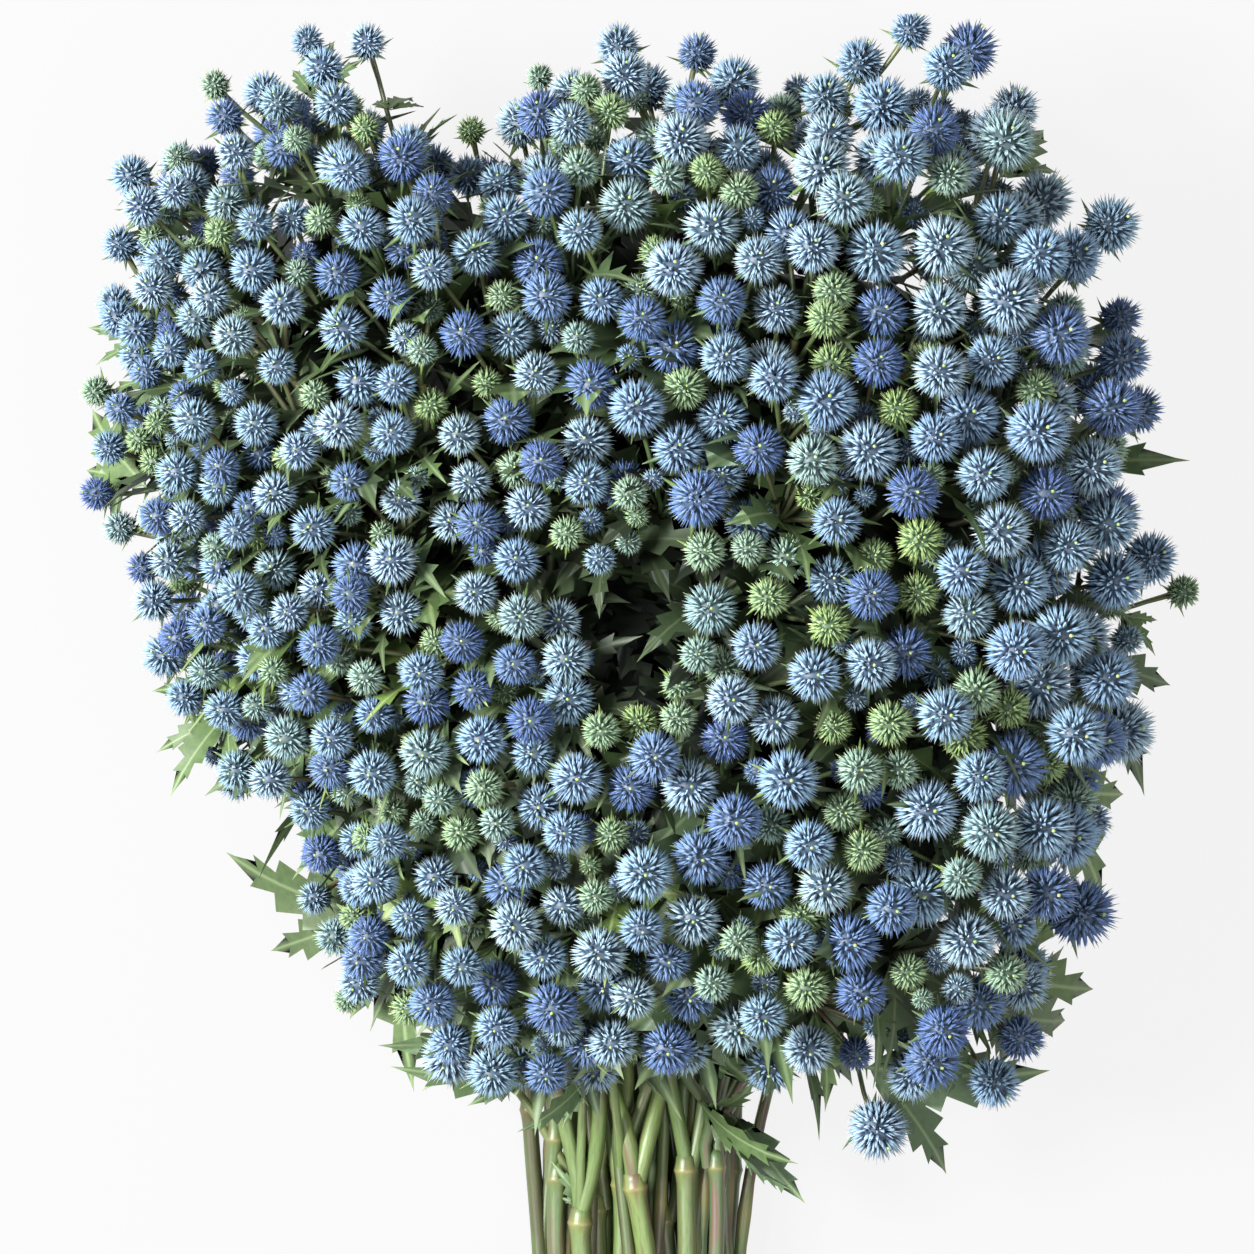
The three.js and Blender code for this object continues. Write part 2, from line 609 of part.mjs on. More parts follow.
// A stalklet from a triangle of corners to the foot of a head, and the head on it.
function addStalklet(shell, corners, centre, radius) {
  const foot = middleOf(shell, corners);
  const axis = centre.clone().sub(foot).normalize();
  const frame = basis(axis);
  const turns = corners.map((corner) => turnAbout(frame, shell.corners[corner].clone().sub(foot)));
  let drift = 0;
  turns.forEach((turn, k) => {
    const off = turn - turns[0] - (TURN * k) / 3;
    drift += (off - TURN * Math.round(off / TURN)) / 3;
  });
  const baseTurn = turns[0] + drift;
  const baseCentre = centre.clone().addScaledVector(axis, -HEAD_BASE * radius);
  const base = ringOf(shell, baseCentre, frame, STALKLET_RADIUS, evenTurns(3, baseTurn));
  for (let k = 0; k < 3; k += 1) {
    const next = (k + 1) % 3;
    shell.face(corners[k], corners[next], base[next]);
    shell.face(corners[k], base[next], base[k]);
  }
  addHead(shell, base, baseTurn, centre, axis, radius);
}

// Moves turns that lie close together apart, towards an even share of the circle.
function easeTurns(turns) {
  const step = TURN / turns.length;
  const drift = turns.reduce((sum, turn, k) => sum + turn - turns[0] - step * k, 0) / turns.length;
  return turns.map((turn, k) => mix(turn, turns[0] + drift + step * k, FORK_EASE));
}

// The limbs of a fork in order round its axis, with bare places in the widest gaps where they are few.
// A limb that leaves nearly the same way round as the one before it is grafted on later.
function limbsInOrder(limbs, frame, at, knot, grafts) {
  const sorted = limbs.map((limb) => ({ limb, turn: turnAbout(frame, at(limb.at).clone().sub(knot)) }));
  sorted.sort((a, b) => a.turn - b.turn);
  const placed = [];
  for (const place of sorted) {
    const before = placed[placed.length - 1];
    const close = before && place.turn - before.turn < GRAFT_TURN;
    const wraps = before && placed[0].turn + TURN - place.turn < GRAFT_TURN;
    if (close || wraps) grafts.push({ limb: place.limb, knot });
    else placed.push(place);
  }
  while (placed.length < 3) {
    const turnAfter = (k) => (k + 1 < placed.length ? placed[k + 1].turn : placed[0].turn + TURN);
    const gaps = placed.map(({ turn }, k) => turnAfter(k) - turn);
    const widest = gaps.indexOf(Math.max(...gaps));
    placed.splice(widest + 1, 0, { limb: null, turn: placed[widest].turn + gaps[widest] / 2 });
  }
  return placed;
}

// Grows a limb from a ring of corners: its stalk, its fork, and all that the fork carries.
function addLimb(shell, low, limb, at, grafts) {
  if (limb.limbs.length === 0) {
    addStalklet(shell, low, at(limb.at), limb.headRadius);
    return;
  }
  const knot = at(limb.at);
  const foot = middleOf(shell, low);
  const rise = knot.clone().sub(foot).normalize();
  const spread = V(0, 0, 0);
  for (const next of limb.limbs) spread.add(at(next.at).clone().sub(knot).normalize());
  spread.normalize();
  const lean = Math.max(FORK_LEAN, FORK_TURN_LEAN - spread.dot(rise));
  const axis = spread.addScaledVector(rise, lean).normalize();
  const frame = basis(axis);
  const lowTurns = low.map((corner) => turnAbout(frame, shell.corners[corner].clone().sub(foot)));
  if (limb.limbs.length === 1) {
    const turns = evenTurns(3, lowTurns[0]);
    const ring = ringOf(shell, knot, frame, limb.radius, turns);
    stitch(shell, low, lowTurns, ring, turns);
    addLimb(shell, ring, limb.limbs[0], at, grafts);
    return;
  }
  const placed = limbsInOrder(limb.limbs, frame, at, knot, grafts);
  const turns = easeTurns(placed.map(({ turn }) => turn));
  const last = turns[turns.length - 1] - TURN;
  const between = turns.map((turn, k) => (turn + (k === 0 ? last : turns[k - 1])) / 2);
  const ring = ringOf(shell, knot, frame, limb.radius, between);
  stitch(shell, low, lowTurns, ring, between);
  const apex = shell.add(knot.clone().addScaledVector(axis, FORK_PEAK * limb.radius));
  placed.forEach((place, k) => {
    const corners = [ring[k], ring[(k + 1) % ring.length], apex];
    if (place.limb) addLimb(shell, corners, place.limb, at, grafts);
    else shell.face(...corners);
  });
}

// Limbs that start from a small ring inside their fork.
function graftShells(grafts, at) {
  const shells = [];
  while (grafts.length > 0) {
    const { limb, knot } = grafts.pop();
    const shell = new Shell();
    const frame = basis(at(limb.at).clone().sub(knot).normalize());
    const ring = ringOf(shell, knot, frame, GRAFT_RADIUS, evenTurns(3));
    capOf(shell, ring, true);
    addLimb(shell, ring, limb, at, grafts);
    shells.push(shell);
  }
  return shells;
}

// The stalk from its cut end to its first fork, then the limbs. Its frame is carried along the path so
// that it doesn't twist, and one of its sides faces straight down.
function stemShells(path, fork, at) {
  const shell = new Shell();
  const stalk = path.map(at);
  const turns = evenTurns(STALK_SIDES, -Math.PI / 2 - Math.PI / STALK_SIDES);
  let u = V(-1, 0, 0);
  let low = null;
  for (let step = 0; step < stalk.length - 1; step += 1) {
    const axis = stalk[step + 1].clone().sub(stalk[Math.max(step - 1, 0)]).normalize();
    u = u.addScaledVector(axis, -u.dot(axis)).normalize();
    const frame = { u, v: axis.clone().cross(u) };
    const radius = mix(STALK_RADIUS_CUT, STALK_RADIUS_TOP, step / (stalk.length - 1));
    const ring = ringOf(shell, stalk[step], frame, radius, turns);
    if (low) stitch(shell, low, turns, ring, turns);
    else capOf(shell, ring, true);
    low = ring;
  }
  const grafts = [];
  addLimb(shell, low, fork, at, grafts);
  return [shell, ...graftShells(grafts, at)];
}

// A cut blade with a raised midrib: both faces share the edge, and meet at the tip and every tooth.
function leafShell(base, tip, normal) {
  const shell = new Shell();
  const along = tip.clone().sub(base);
  const length = along.length();
  const side = along.clone().cross(normal).normalize();
  const up = side.clone().cross(along).normalize();
  const width = LEAF_WIDTH * length;
  const at = (share, across, lift) =>
    base.clone().addScaledVector(along, share).addScaledVector(side, across)
      .addScaledVector(up, LEAF_ARCH * length * 4 * share * (1 - share) + lift);
  const left = LEAF_EDGE.map(([share, out]) => shell.add(at(share, -out * width, 0)));
  const right = LEAF_EDGE.map(([share, out]) => shell.add(at(share, out * width, 0)));
  const point = shell.add(at(1, 0, 0));
  const roots = [LEAF_RIB, -LEAF_RIB].map((lift) => shell.add(at(0, 0, lift * LEAF_ROOT)));
  roots.forEach((root, underside) => {
    const face = (a, b, c) => (underside ? shell.face(a, c, b) : shell.face(a, b, c));
    const lift = underside ? -LEAF_RIB : LEAF_RIB;
    const [lower, upper] = LEAF_RIBS.map((share) => shell.add(at(share, 0, lift)));
    const rightEdge = [root, ...right, point];
    const leftEdge = [root, ...left, point];
    for (let k = 0; k + 1 < rightEdge.length; k += 1) {
      const rib = k < 3 ? lower : upper;
      face(rightEdge[k], rightEdge[k + 1], rib);
      face(leftEdge[k + 1], leftEdge[k], rib);
    }
    face(right[2], upper, lower);
    face(upper, left[2], lower);
  });
  shell.face(roots[0], roots[1], right[0]);
  shell.face(roots[1], roots[0], left[0]);
  return shell;
}

// ---- Leaves: where they can grow -----------------------------------------------------------------

function leafClear(tree, stem, from, to) {
  const points = [{ at: from }, { at: to }];
  const blade = { a: 0, b: 1 };
  return tree.links.every((link) => {
    const pair = [...points, tree.points[link.a], tree.points[link.b]];
    const { s, t, distance } = closest(pair, blade, { a: 2, b: 3 });
    if (link.stem === stem && s < LEAF_FOOT) return true;
    const width = LEAF_WIDTH * from.distanceTo(to) * Math.min(1, 4 * Math.min(s, 1 - s) + LEAF_END);
    return distance > mix(link.radiusA, link.radiusB, t) + LEAF_FLANK * width + LEAF_ROOM;
  });
}

function addLeaf(tree, leaves, { stem, base }, tip) {
  const clear = leafClear(tree, stem, base, tip);
  const apart = leaves.every((leaf) => {
    const ends = [{ at: base }, { at: tip }, { at: leaf.base }, { at: leaf.tip }];
    return closest(ends, { a: 0, b: 1 }, { a: 2, b: 3 }).distance > LEAF_APART;
  });
  if (clear && apart) leaves.push({ stem, base, tip });
  return clear && apart;
}

// Leaves grow just below the forks, and a few on stalklets.
function leafSites({ points, stems }, random) {
  const forks = [];
  const stalklets = [];
  const visit = (limb, stem) => {
    const knot = points[limb.at].at;
    if (limb.parent !== limb.at) {
      const back = points[limb.parent].at.clone().sub(knot).normalize();
      forks.push({ stem, base: knot.clone().addScaledVector(back, LEAF_BELOW_FORK), rank: random() });
    }
    for (const next of limb.limbs) {
      if (next.limbs.length > 0) visit(next, stem);
      else stalklets.push({ stem, base: knot.clone().lerp(points[next.at].at, LEAF_UP_STALKLET) });
    }
  };
  stems.forEach(({ fork }, stem) => visit(fork, stem));
  return { forks: forks.sort((a, b) => a.rank - b.rank), stalklets };
}

function makeLeaves(tree) {
  const random = seededDraw(SEED + 2);
  const leaves = [];
  const { forks, stalklets } = leafSites(tree, random);
  for (const [x, y] of LEAF_TIPS) {
    LEAF_TIP_HEIGHTS.some((z) => {
      const tip = V(x, y, z);
      const far = (site) => site.base.distanceTo(tip);
      const sites = [...forks, ...stalklets];
      const near = sites.filter((site) => far(site) > LEAF_SHORTEST && far(site) < LEAF_LONGEST);
      return near.sort((a, b) => far(a) - far(b)).some((site) => addLeaf(tree, leaves, site, tip));
    });
  }
  for (const site of forks) {
    const out = facing(site.base);
    for (let draw = 0; draw < LEAF_TRIES && leaves.length < LEAF_LIMIT; draw += 1) {
      const turn = TURN * random();
      const length = LEAF_LENGTH * (1 + LEAF_SPREAD * (random() - 0.5));
      const side = around(site.base, basis(out), LEAF_SIDEWAYS * length, turn);
      const tip = side.addScaledVector(out, LEAF_OUTWARDS * length);
      if (tip.z > LEAF_HEIGHT && addLeaf(tree, leaves, site, tip)) break;
    }
  }
  return leaves;
}

// ---- One mesh for each stem ----------------------------------------------------------------------

function stemSolid(tree, stem, leaves) {
  const { path, fork } = tree.stems[stem];
  const solids = stemShells(path, fork, (index) => tree.points[index].at).map((shell) => shell.solid());
  for (const { base, tip } of leaves.filter((leaf) => leaf.stem === stem)) {
    solids.push(leafShell(base, tip, facing(tip)).solid());
  }
  return wasm.Manifold.union(solids);
}

// Everything under the surface is cut away, so what lies on it has a small flat spot.
function ground() {
  const size = 1200;
  const box = new THREE.BoxGeometry(size, size, size).translate(0, 0, -size / 2);
  const shell = new Shell();
  const position = box.getAttribute('position');
  const known = new Map();
  const corner = (k) => {
    const point = V().fromBufferAttribute(position, k);
    const key = point.toArray().join();
    if (!known.has(key)) known.set(key, shell.add(point));
    return known.get(key);
  };
  const index = box.getIndex().array;
  for (let k = 0; k < index.length; k += 3) {
    shell.face(corner(index[k]), corner(index[k + 1]), corner(index[k + 2]));
  }
  return shell.solid();
}

function geometryOf(solid) {
  const { vertProperties, triVerts } = solid.getMesh();
  const geometry = new THREE.BufferGeometry();
  geometry.setAttribute('position', new THREE.BufferAttribute(vertProperties, 3));
  geometry.setIndex(new THREE.BufferAttribute(triVerts, 1));
  return geometry;
}

const STEEL_BLUE = 0x5b7c93;

function buildBunch() {
  const tree = makeTree(makeHeads());
  untangle(tree);
  const leaves = makeLeaves(tree);
  const surface = ground();
  const bunch = new THREE.Group();
  for (let stem = 0; stem < STEM_COUNT; stem += 1) {
    const solid = stemSolid(tree, stem, leaves).subtract(surface);
    const material = new THREE.MeshStandardMaterial({ color: STEEL_BLUE, roughness: 0.75, metalness: 0 });
    const mesh = new THREE.Mesh(geometryOf(solid), material);
    mesh.name = `stem_${String(stem + 1).padStart(2, '0')}`;
    mesh.position.copy(ORIGIN).negate();
    bunch.add(mesh);
  }
  return bunch;
}

export default buildBunch();
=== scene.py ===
"""The looks of a gathered bunch of cut sea holly stems (Eryngium planum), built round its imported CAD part.

The tree of stalks, forks, stalklets and heads is grown from the same seed and the same dimensions as the
CAD part's. Every stem is then dressed with florets, spines, bracts, ribbed stalks and cut leaves.
Lengths are in millimetres, in the coordinates of the CAD part's own dimensions, until a piece is made.
"""
import json
import math
from dataclasses import dataclass, field

import bpy
import numpy as np
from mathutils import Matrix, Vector

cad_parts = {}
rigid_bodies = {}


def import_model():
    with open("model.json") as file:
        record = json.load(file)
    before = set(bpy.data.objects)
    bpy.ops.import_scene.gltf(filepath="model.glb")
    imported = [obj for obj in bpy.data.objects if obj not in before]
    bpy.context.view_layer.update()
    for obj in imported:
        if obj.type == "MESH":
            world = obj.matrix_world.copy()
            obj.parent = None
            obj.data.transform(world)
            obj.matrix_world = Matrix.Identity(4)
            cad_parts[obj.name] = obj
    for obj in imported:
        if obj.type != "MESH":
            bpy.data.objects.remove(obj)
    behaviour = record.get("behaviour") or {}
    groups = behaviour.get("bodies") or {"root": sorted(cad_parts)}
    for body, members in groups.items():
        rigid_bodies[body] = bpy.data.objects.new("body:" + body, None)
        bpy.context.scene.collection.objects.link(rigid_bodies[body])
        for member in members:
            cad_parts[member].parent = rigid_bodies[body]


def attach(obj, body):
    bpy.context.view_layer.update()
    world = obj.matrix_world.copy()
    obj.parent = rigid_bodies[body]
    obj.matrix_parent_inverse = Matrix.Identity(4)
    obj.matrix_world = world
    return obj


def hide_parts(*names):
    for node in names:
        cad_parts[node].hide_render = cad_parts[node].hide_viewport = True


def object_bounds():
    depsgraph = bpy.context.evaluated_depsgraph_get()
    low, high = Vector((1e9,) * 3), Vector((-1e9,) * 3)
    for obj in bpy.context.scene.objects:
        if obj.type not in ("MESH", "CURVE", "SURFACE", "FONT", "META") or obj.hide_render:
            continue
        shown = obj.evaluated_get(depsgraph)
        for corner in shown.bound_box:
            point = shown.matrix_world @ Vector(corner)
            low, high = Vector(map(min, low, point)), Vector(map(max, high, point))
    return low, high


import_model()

cad_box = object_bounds()

MM = 0.001  # in metres
TURN = 2 * math.pi
GOLDEN_TURN = math.pi * (3 - math.sqrt(5))
UP = np.array([0.0, 0.0, 1.0])

# ---- Dimensions shared with the CAD part ----

SEED = 20261
STEM_COUNT = 20
ORIGIN = np.array([3.95, -115.75, 0.0])  # the frame's origin

MASS_CENTRE = np.array([2.0, 16.0, 86.0])
MASS_HALF_WIDTH = 180
MASS_TOP = 100
MASS_BOTTOM = 80
MASS_POWER = 2.5
OUTLINE = [
    (0, 176), (20, 190), (40, 203), (57, 219), (72, 180), (95, 183), (113, 158), (122, 216), (140, 221),
    (160, 198), (180, 172), (200, 163), (220, 152), (240, 176), (252, 184), (270, 174), (290, 182),
    (308, 212), (325, 190), (342, 184),
]
GAP_CENTRE = (1, 6)
GAP_HALF_WIDTH = 15
GAP_HALF_HEIGHT = 30
GAP_TURN = math.radians(8)

HEAD_COUNT = 590
HEAD_DRAWS = 14
FACE_SHARE = 0.76
SIDE_UP = 0.75
SIDE_DOWN = 0.86
HEAD_RADIUS_LEFT = 7.4
HEAD_RADIUS_RIGHT = 10.6
HEAD_SPREAD = 0.24
BUD_SHARE = 0.13
BUD_SCALE = 0.74
BUD_DEPTH = 4
BUD_RADIUS = 6.5
LAYER_DEPTH = 20
DEPTH_POWER = 1.3
STALKLET_ROOM = 3.2
STALKLET_REACH = 60
FACING_CENTRE = np.array([2.0, -15.0, 48.0])
FACING_DROOP = 0.5
PROUD_HEADS = [
    (-167, 153, 96, 8.2), (-174, 110, 84, 8.0), (-181, 45, 78, 7.0), (-180, 80, 92, 6.2),
    (-156, -11, 92, 9.0), (-140, -32, 74, 8.5), (164, 136, 92, 10.0), (170, -39, 84, 11.5),
    (177, 23, 96, 9.4), (190, 12, 80, 6.0), (174, 74, 84, 8.6), (169, 106, 72, 7.4),
    (86, -172, 70, 11.0), (-60, -146, 92, 10.4), (-96, -128, 66, 5.6), (127, -154, 72, 9.2),
    (154, -97, 88, 12.0), (159, -63, 66, 7.2), (-110, 200, 78, 6.6), (-88, 198, 96, 7.2),
    (-140, 185, 84, 6.0), (-30, 187, 88, 5.2), (-3, 197, 92, 8.2), (24, 196, 78, 7.4),
    (96, 203, 90, 7.2), (117, 197, 76, 10.0), (80, 192, 82, 8.8), (132, 176, 84, 8.8),
    (153, 124, 80, 8.0), (-174, 34, 70, 7.0), (-165, 20, 82, 6.6), (-53, 169, 86, 5.5),
    (134, -143, 68, 8.5), (97, -153, 84, 9.0), (-107, -93, 72, 6.8),
]
RESTING_HEADS = [(-78, 56), (82, 48), (6, -84)]
RESTING_RADIUS = 8.4
RESTING_HEIGHT = 0.8
LYING_HEIGHT = 0.93

FORK_DEPTHS = [92, 60, 31]  # from the stalk's fork outwards
FORK_RADII = [3.3, 2.3, 1.9]
FORK_HEADS = [8, 3.7, 1]  # heads that each limb of the fork carries
DEEP_BEND = 34

NECK_Y = -190
CUT_Y = -432
CUT_STAGGER = 9
BUNDLE_X = 4.6
BUNDLE_HALF_WIDTH = 41
BUNDLE_LAYERS = 4
BUNDLE_FLARE = 1.14
MIDDLE_FLARE = 1.03
BUNDLE_HEIGHT = 40
BUNDLE_REACH = 82
LAYER_HEIGHT = 7.6
LAYER_NARROWING = 0.1
LAYER_STAGGER = 0.2
LAYER_SPREAD_MIDDLE = 0.4
LAYER_SPREAD_NECK = 1
LAYER_SLOPE = 0.25
NECK_RISE = 2
STALK_RADIUS_CUT = 3.7
STALK_RADIUS_TOP = 2.9
STALK_STEPS = 4
STALK_REST = 0.81
STALK_MOVE = 0.6
DIVIDING_LAYER = 2
DIVIDING_DROP = (-8, 20)
LEADER_RADIUS = 2.9
LEADER_SPREAD = 22
BEND_SIDEWAYS = 0.15
BEND_ONWARDS = 0.42
BEND_UPWARDS = 0.02
BEND_INWARDS = 0.25
BEND_BACK = 0.12
STALKLET_RADIUS = 1.0

LEAF_LIMIT = 33
LEAF_WIDTH = 0.27
LEAF_LENGTH = 44
LEAF_SPREAD = 0.4
LEAF_SIDEWAYS = 0.75
LEAF_OUTWARDS = 0.6
LEAF_SHORTEST = 16
LEAF_LONGEST = 75
LEAF_HEIGHT = 5
LEAF_TRIES = 3
LEAF_ROOM = 0.9
LEAF_FLANK = 0.72
LEAF_END = 0.1
LEAF_FOOT = 0.15
LEAF_APART = 5
LEAF_BELOW_FORK = 10
LEAF_UP_STALKLET = 0.55
LEAF_ARCH = 0.09
LEAF_TIPS = [
    (-172, 137), (-186, 103), (-186, 76), (-186, 42), (-180, 29), (-163, -22), (-155, -58), (-141, -79),
    (-112, -81), (-107, -108), (-86, -144), (-82, -152), (-74, -162), (-38, -174), (57, -193), (59, -184),
    (108, -163), (148, -155), (155, -139), (165, -128), (168, -98), (180, -59), (181, -10), (193, 57),
    (175, 90), (145, 173), (-73, 180), (-101, 203),
]
LEAF_TIP_HEIGHTS = [76, 66, 56, 46, 96, 36, 26, 14]

CLEARANCE = 0.7
UNTANGLE_STEPS = 140
NEIGHBOUR_STEPS = 10
NEIGHBOUR_REACH = 14
FORK_SHARE = 0.5

# ---- Dimensions of the finer detail ----

# Flower heads. Reaches and widths are shares of the head's radius.
HEAD_SIZES = (0.96, 1.08)  # heads with their spines, against the CAD part's, on the left and on the right
HEAD_EGG = 0.16  # and this much longer than wide
HEAD_CORE = 0.7
CORE_SIDES = 5
HEAD_BARE = 0.72  # the lowest florets, as the cosine of their turn from the stalklet
FULL_RADIUS = 9.8  # a head of this radius has the full number of florets and spines
MOST_SPIKES = 1.2  # and a larger one has at most this many times that number
SPIKE_ROOT = 0.58  # the spikes' roots are sunk in the core
ROOT_ALONG = 0.2  # what the material reads there and on the core; at a pale end it reads 1
# The kinds of spike: their number, half width at the root, least and greatest reach, and pale share.
FLORETS = (90, 0.11, 0.84, 0.95, 0.8)
SPINES = (154, 0.05, 0.92, 1.07, 1.0)
SPREAD_JITTER = 0.06
YOUNG_STOUTNESS = 1.3  # young florets and spines are this much wider
EYE_RADIUS = 0.065
EYE_HEIGHT = 0.93
EYE_TONE = (0.0, 1.0, 0.0)
EYE_PALE = 0.72
HEAD_LIFT = 9.0  # how much a head that faces upwards turns further up
HEAD_TURN = 0.5  # how much its stalklet bends the way it faces
HEAD_FOOT = 0.5  # how far below its middle the stalklet ends

BRACTS = 6
BRACT_FOOT = 0.62
BRACT_LENGTH = (1.05, 1.5)
BRACT_RISE = (-0.15, 0.3)
BRACT_CURL = 0.1
BRACT_JITTER = 0.2

STALK_SIDES = 12
STALK_STEP = 8.0
STALK_SIZE = (0.72, 0.98)
GRAIN_ROUND = 3  # how far its fine pattern is read from its middle line
GRAIN_ALONG = 0.12  # and how far along that line for each mm
STALK_WOBBLE = 1.5
STALK_WAVES = (1, 3)  # the number of its bends
STALK_TINGE = (0.3, 0.4)  # the middle and spread of the stalks' brown tinge
# painted shade on the stalks that lie low in the bundle, under the others
UNDER_PAINTED_SHADE = 0.6
RIB_DEPTH = 0.03
NODE_FIRST = 12
NODE_SPACING = (58, 104)
MOST_NODES = 12
NODE_SWELL = 0.2
NODE_LENGTH = 3.0
NODE_YELLOW = 0.3  # the colour of its swelling, against its scar's
NODE_ROWS = np.array([-1.6, -0.8, -0.3, 0, 0.3, 0.8, 1.6])  # a stalk's rings about a node
NODE_SCAR = 0.1
NODE_SCAR_LENGTH = 0.7
STALK_DOME = np.array([(0.2, 0.8), (0.35, 0.36)])  # a stalk's end, as (onwards, radius) in its radii
DOME_YELLOW = [0.2, 0.2]
FORK_RING = 6  # the node below a stalk's end where it divides
FORK_TAPER = 0.6  # what is left of the stalk's radius between its leaders
STALK_TOP_DIVIDING = 0.95 * STALK_RADIUS_CUT
LEADER_SUNK = 6  # a leader starts this deep in its stalk
LEADER_PARTED = 6  # and has come clear of the other one this far on
LEADER_ASIDE = (0.25, 0.72)  # how far it is to its own side at both, in radii of the stalk
LEADER_THIN = 0.15  # and how much thinner it starts
LEADER_TAPER = 0.75
LEAFY_SHARE = 0.35  # the share of nodes near the mass with a leaf
LEAFY_LENGTH = (16, 34)
LEAFY_LEAN = 0.4
LEAFY_DROOP = 0.2
LEAFY_REACH = 90  # from the stalk's end
SHOOT_SHARE = 0.6  # the share of them with a shoot and its own head
SHOOT_SLOPE = (0.8, 1.6)

BRANCH_SIDES = 7
BRANCH_STEPS = 6
BRANCH_RADII = [(2.4, 1.9), (1.6, 1.25)]
BRANCH_SWELL = 0.3  # at both of its forks
BRANCH_SWELL_LENGTH = 0.08
STALKLET_SIDES = 5
STALKLET_STEPS = 4
STALKLET_RADII = (1.0, 0.8)
STALKLET_SWELL = 0.5
STALKLET_SWELL_POWER = 6
LIMB_BEND = 0.35
# painted shade on the limbs, most at the innermost fork
LIMB_PAINTED_SHADE = [0.8, 0.6, 0.35]
LIMB_YELLOW = 0.6

# The kinds of shoot with a small head of its own: the ranges of the head's radius and of the shoot's
# length, how widely it spreads, its radius at both ends, and the lowest place for the head.
SIDE_SHOOT = ((4.0, 6.4), (15, 31), 0.75, STALKLET_RADII, CUT_Y)
NODE_SHOOT = ((5.0, 7.5), (48, 92), 0.35, (1.9, 1.3), -148)
SIDE_SHOOTS = 3  # those tried at each of the last forks
SHOOT_YOUNG = 0.35
SHOOT_DRAWS = 20
SHOOT_ROOM = -0.2
SHOOT_LEVEL = 0.76  # no head is deeper in the mass, as a share of the way out

# Thin stalks beside each stem's own. Each starts at a share of its length and ends in a small fork.
SIDE_STALKS = 2
SIDE_STALK_FROM = (0.3, 0.75)
SIDE_STALK_SPREAD = (2, 14)
SIDE_STALK_SINK = (-10, 2)
SIDE_STALK_END = (-142, -100)
SIDE_STALK_RADII = (2.5, 1.8)
SIDE_STALK_SIDES = 9
SIDE_STALK_STEPS = 16
SIDE_STALK_NODES = 6  # one of this many steps is a node
SIDE_STALK_DARK = (0.1, 0.6)
# How much further it spreads, and how it leans where it leaves and where it arrives.
MIDDLE_STALK = (1.0, 0.08, 0.0)
OUTER_STALK = (2.4, 0.0, 0.5)
OUTER_FROM = 0.5  # outer ones are this far out in the bundle

# Leaves. A blade's lobes go from base to tip, as (share of the length, share of the half width).
LONG_LOBES = [(0.14, 0.6), (0.3, 1.0), (0.48, 0.86), (0.67, 0.52)]
SMALL_LOBES = [(0.2, 0.8), (0.42, 1.0), (0.66, 0.5)]
BROAD_LOBES = [(0.1, 0.62), (0.24, 0.94), (0.4, 1.0), (0.57, 0.84), (0.74, 0.55)]
BLADE_FOOT = [(0.0, 0.04), (0.07, 0.06)]
BLADE_END = (0.93, 0.07)
CUT_BEFORE = 0.04  # each lobe has a cut this far before it
CUT_AFTER = 0.1  # and the last one has a cut this far after it too
CUT_WIDTH = 0.16  # what the cuts between a blade's lobes leave of its half width
BROAD_CUT_WIDTH = 0.66  # likewise, of each lobe's reach
LOBE_SWEEP = 0.12  # a lobe's end lies this much nearer the tip than its root
LOBE_WIDTH = 0.66  # a cut leaf's three lobes, against the CAD part's blade
LOBE_ROOT = 0.08
LOBE_TURN = (0.5, 0.85)
LOBE_LENGTH = (0.5, 0.78)
LEAF_FACE = 1.0  # how much the outer leaves face upwards
BLADE_THICKNESS = 0.5
BLADE_GRAIN = 30  # how far apart the blades' fine patterns are read
BLADE_VARIETY = (0.9, 1.1)
BLADE_FOLD = (0.05, 0.35)
BLADE_WAVE = (0.09, 9)  # how high and how close the waves of its edge are
RIB_BACK = 0.16  # a lobe's vein leaves the midrib this much nearer the base
RIB_END = 0.94
RIB_SPREAD = 0.05  # what keeps the rib's corners apart
FRESH_LEAVES = 0.04
# The ranges of a leaf's lime, blue and light shares, and of a bract's.
LEAF_TONE = ((0.0, 0.15), (0.0, 0.7), (0.7, 1.3))
FRESH_TONE = ((0.3, 0.8), *LEAF_TONE[1:])
BRACT_TONE = ((0.0, 0.25), (0.0, 0.8), (0.6, 1.0))
YOUNG_TONE = ((0.4, 0.9), *BRACT_TONE[1:])
# Leaves round the forks, from the stalk's outwards: their number, length and relative width.
WHORLS = [(8, 74, 1.0), (8, 64, 1.0), (5, 42, 0.8)]
LAST_FORK = len(WHORLS) - 1
WHORL_JITTER = 0.15
WHORL_LEAN = (0.35, 0.8)
WHORL_LENGTH = (0.75, 1.1)
WHORL_DROOP = 0.12
WHORL_PAINTED_LIGHT = [0.04, 0.14, 0.4]  # painted shade: the inner leaves keep this share of their light
# the outer leaves' light share, against which the painted shade is set
OUTER_LIGHT = 0.75
OUTER_LEVEL = (0.84, 1.02)  # where the leaves are outer ones, as shares of the way out of the mass; the painted shade fades out between the two
TONE_JITTER = 0.06
GAP_SHADE = 20  # the leaves this near the gap are long and narrow, and get the inner leaves' painted shade
GAP_PAINTED_LIGHT = 0.45  # made deeper by this share of their light

BOX_MARGIN = 0.15  # what is grown here stays this far inside the CAD part's box

# The studio, in metres.
FLOOR_SIZE = 8.0
FLOOR_LEVEL = -0.0003
FLOOR_ALBEDO = 0.014
FLOOR_GLOW = 0.865
WORLD_STRENGTH = 0.58
LIGHT_AIM = (0, 0.1, 0.1)
LIGHTS = [("key", (-1.3, 0.3, 1.6), 0.7, 122), ("fill", (0.6, -0.6, 2.2), 1.2, 24)]

CAMERA_HEIGHT = 2000
PICTURE_HEIGHT = 90  # the level at which the picture's scale is set
PICTURE_WIDTH = 426.4
SENSOR_WIDTH = 36


# ---- Small helpers ----

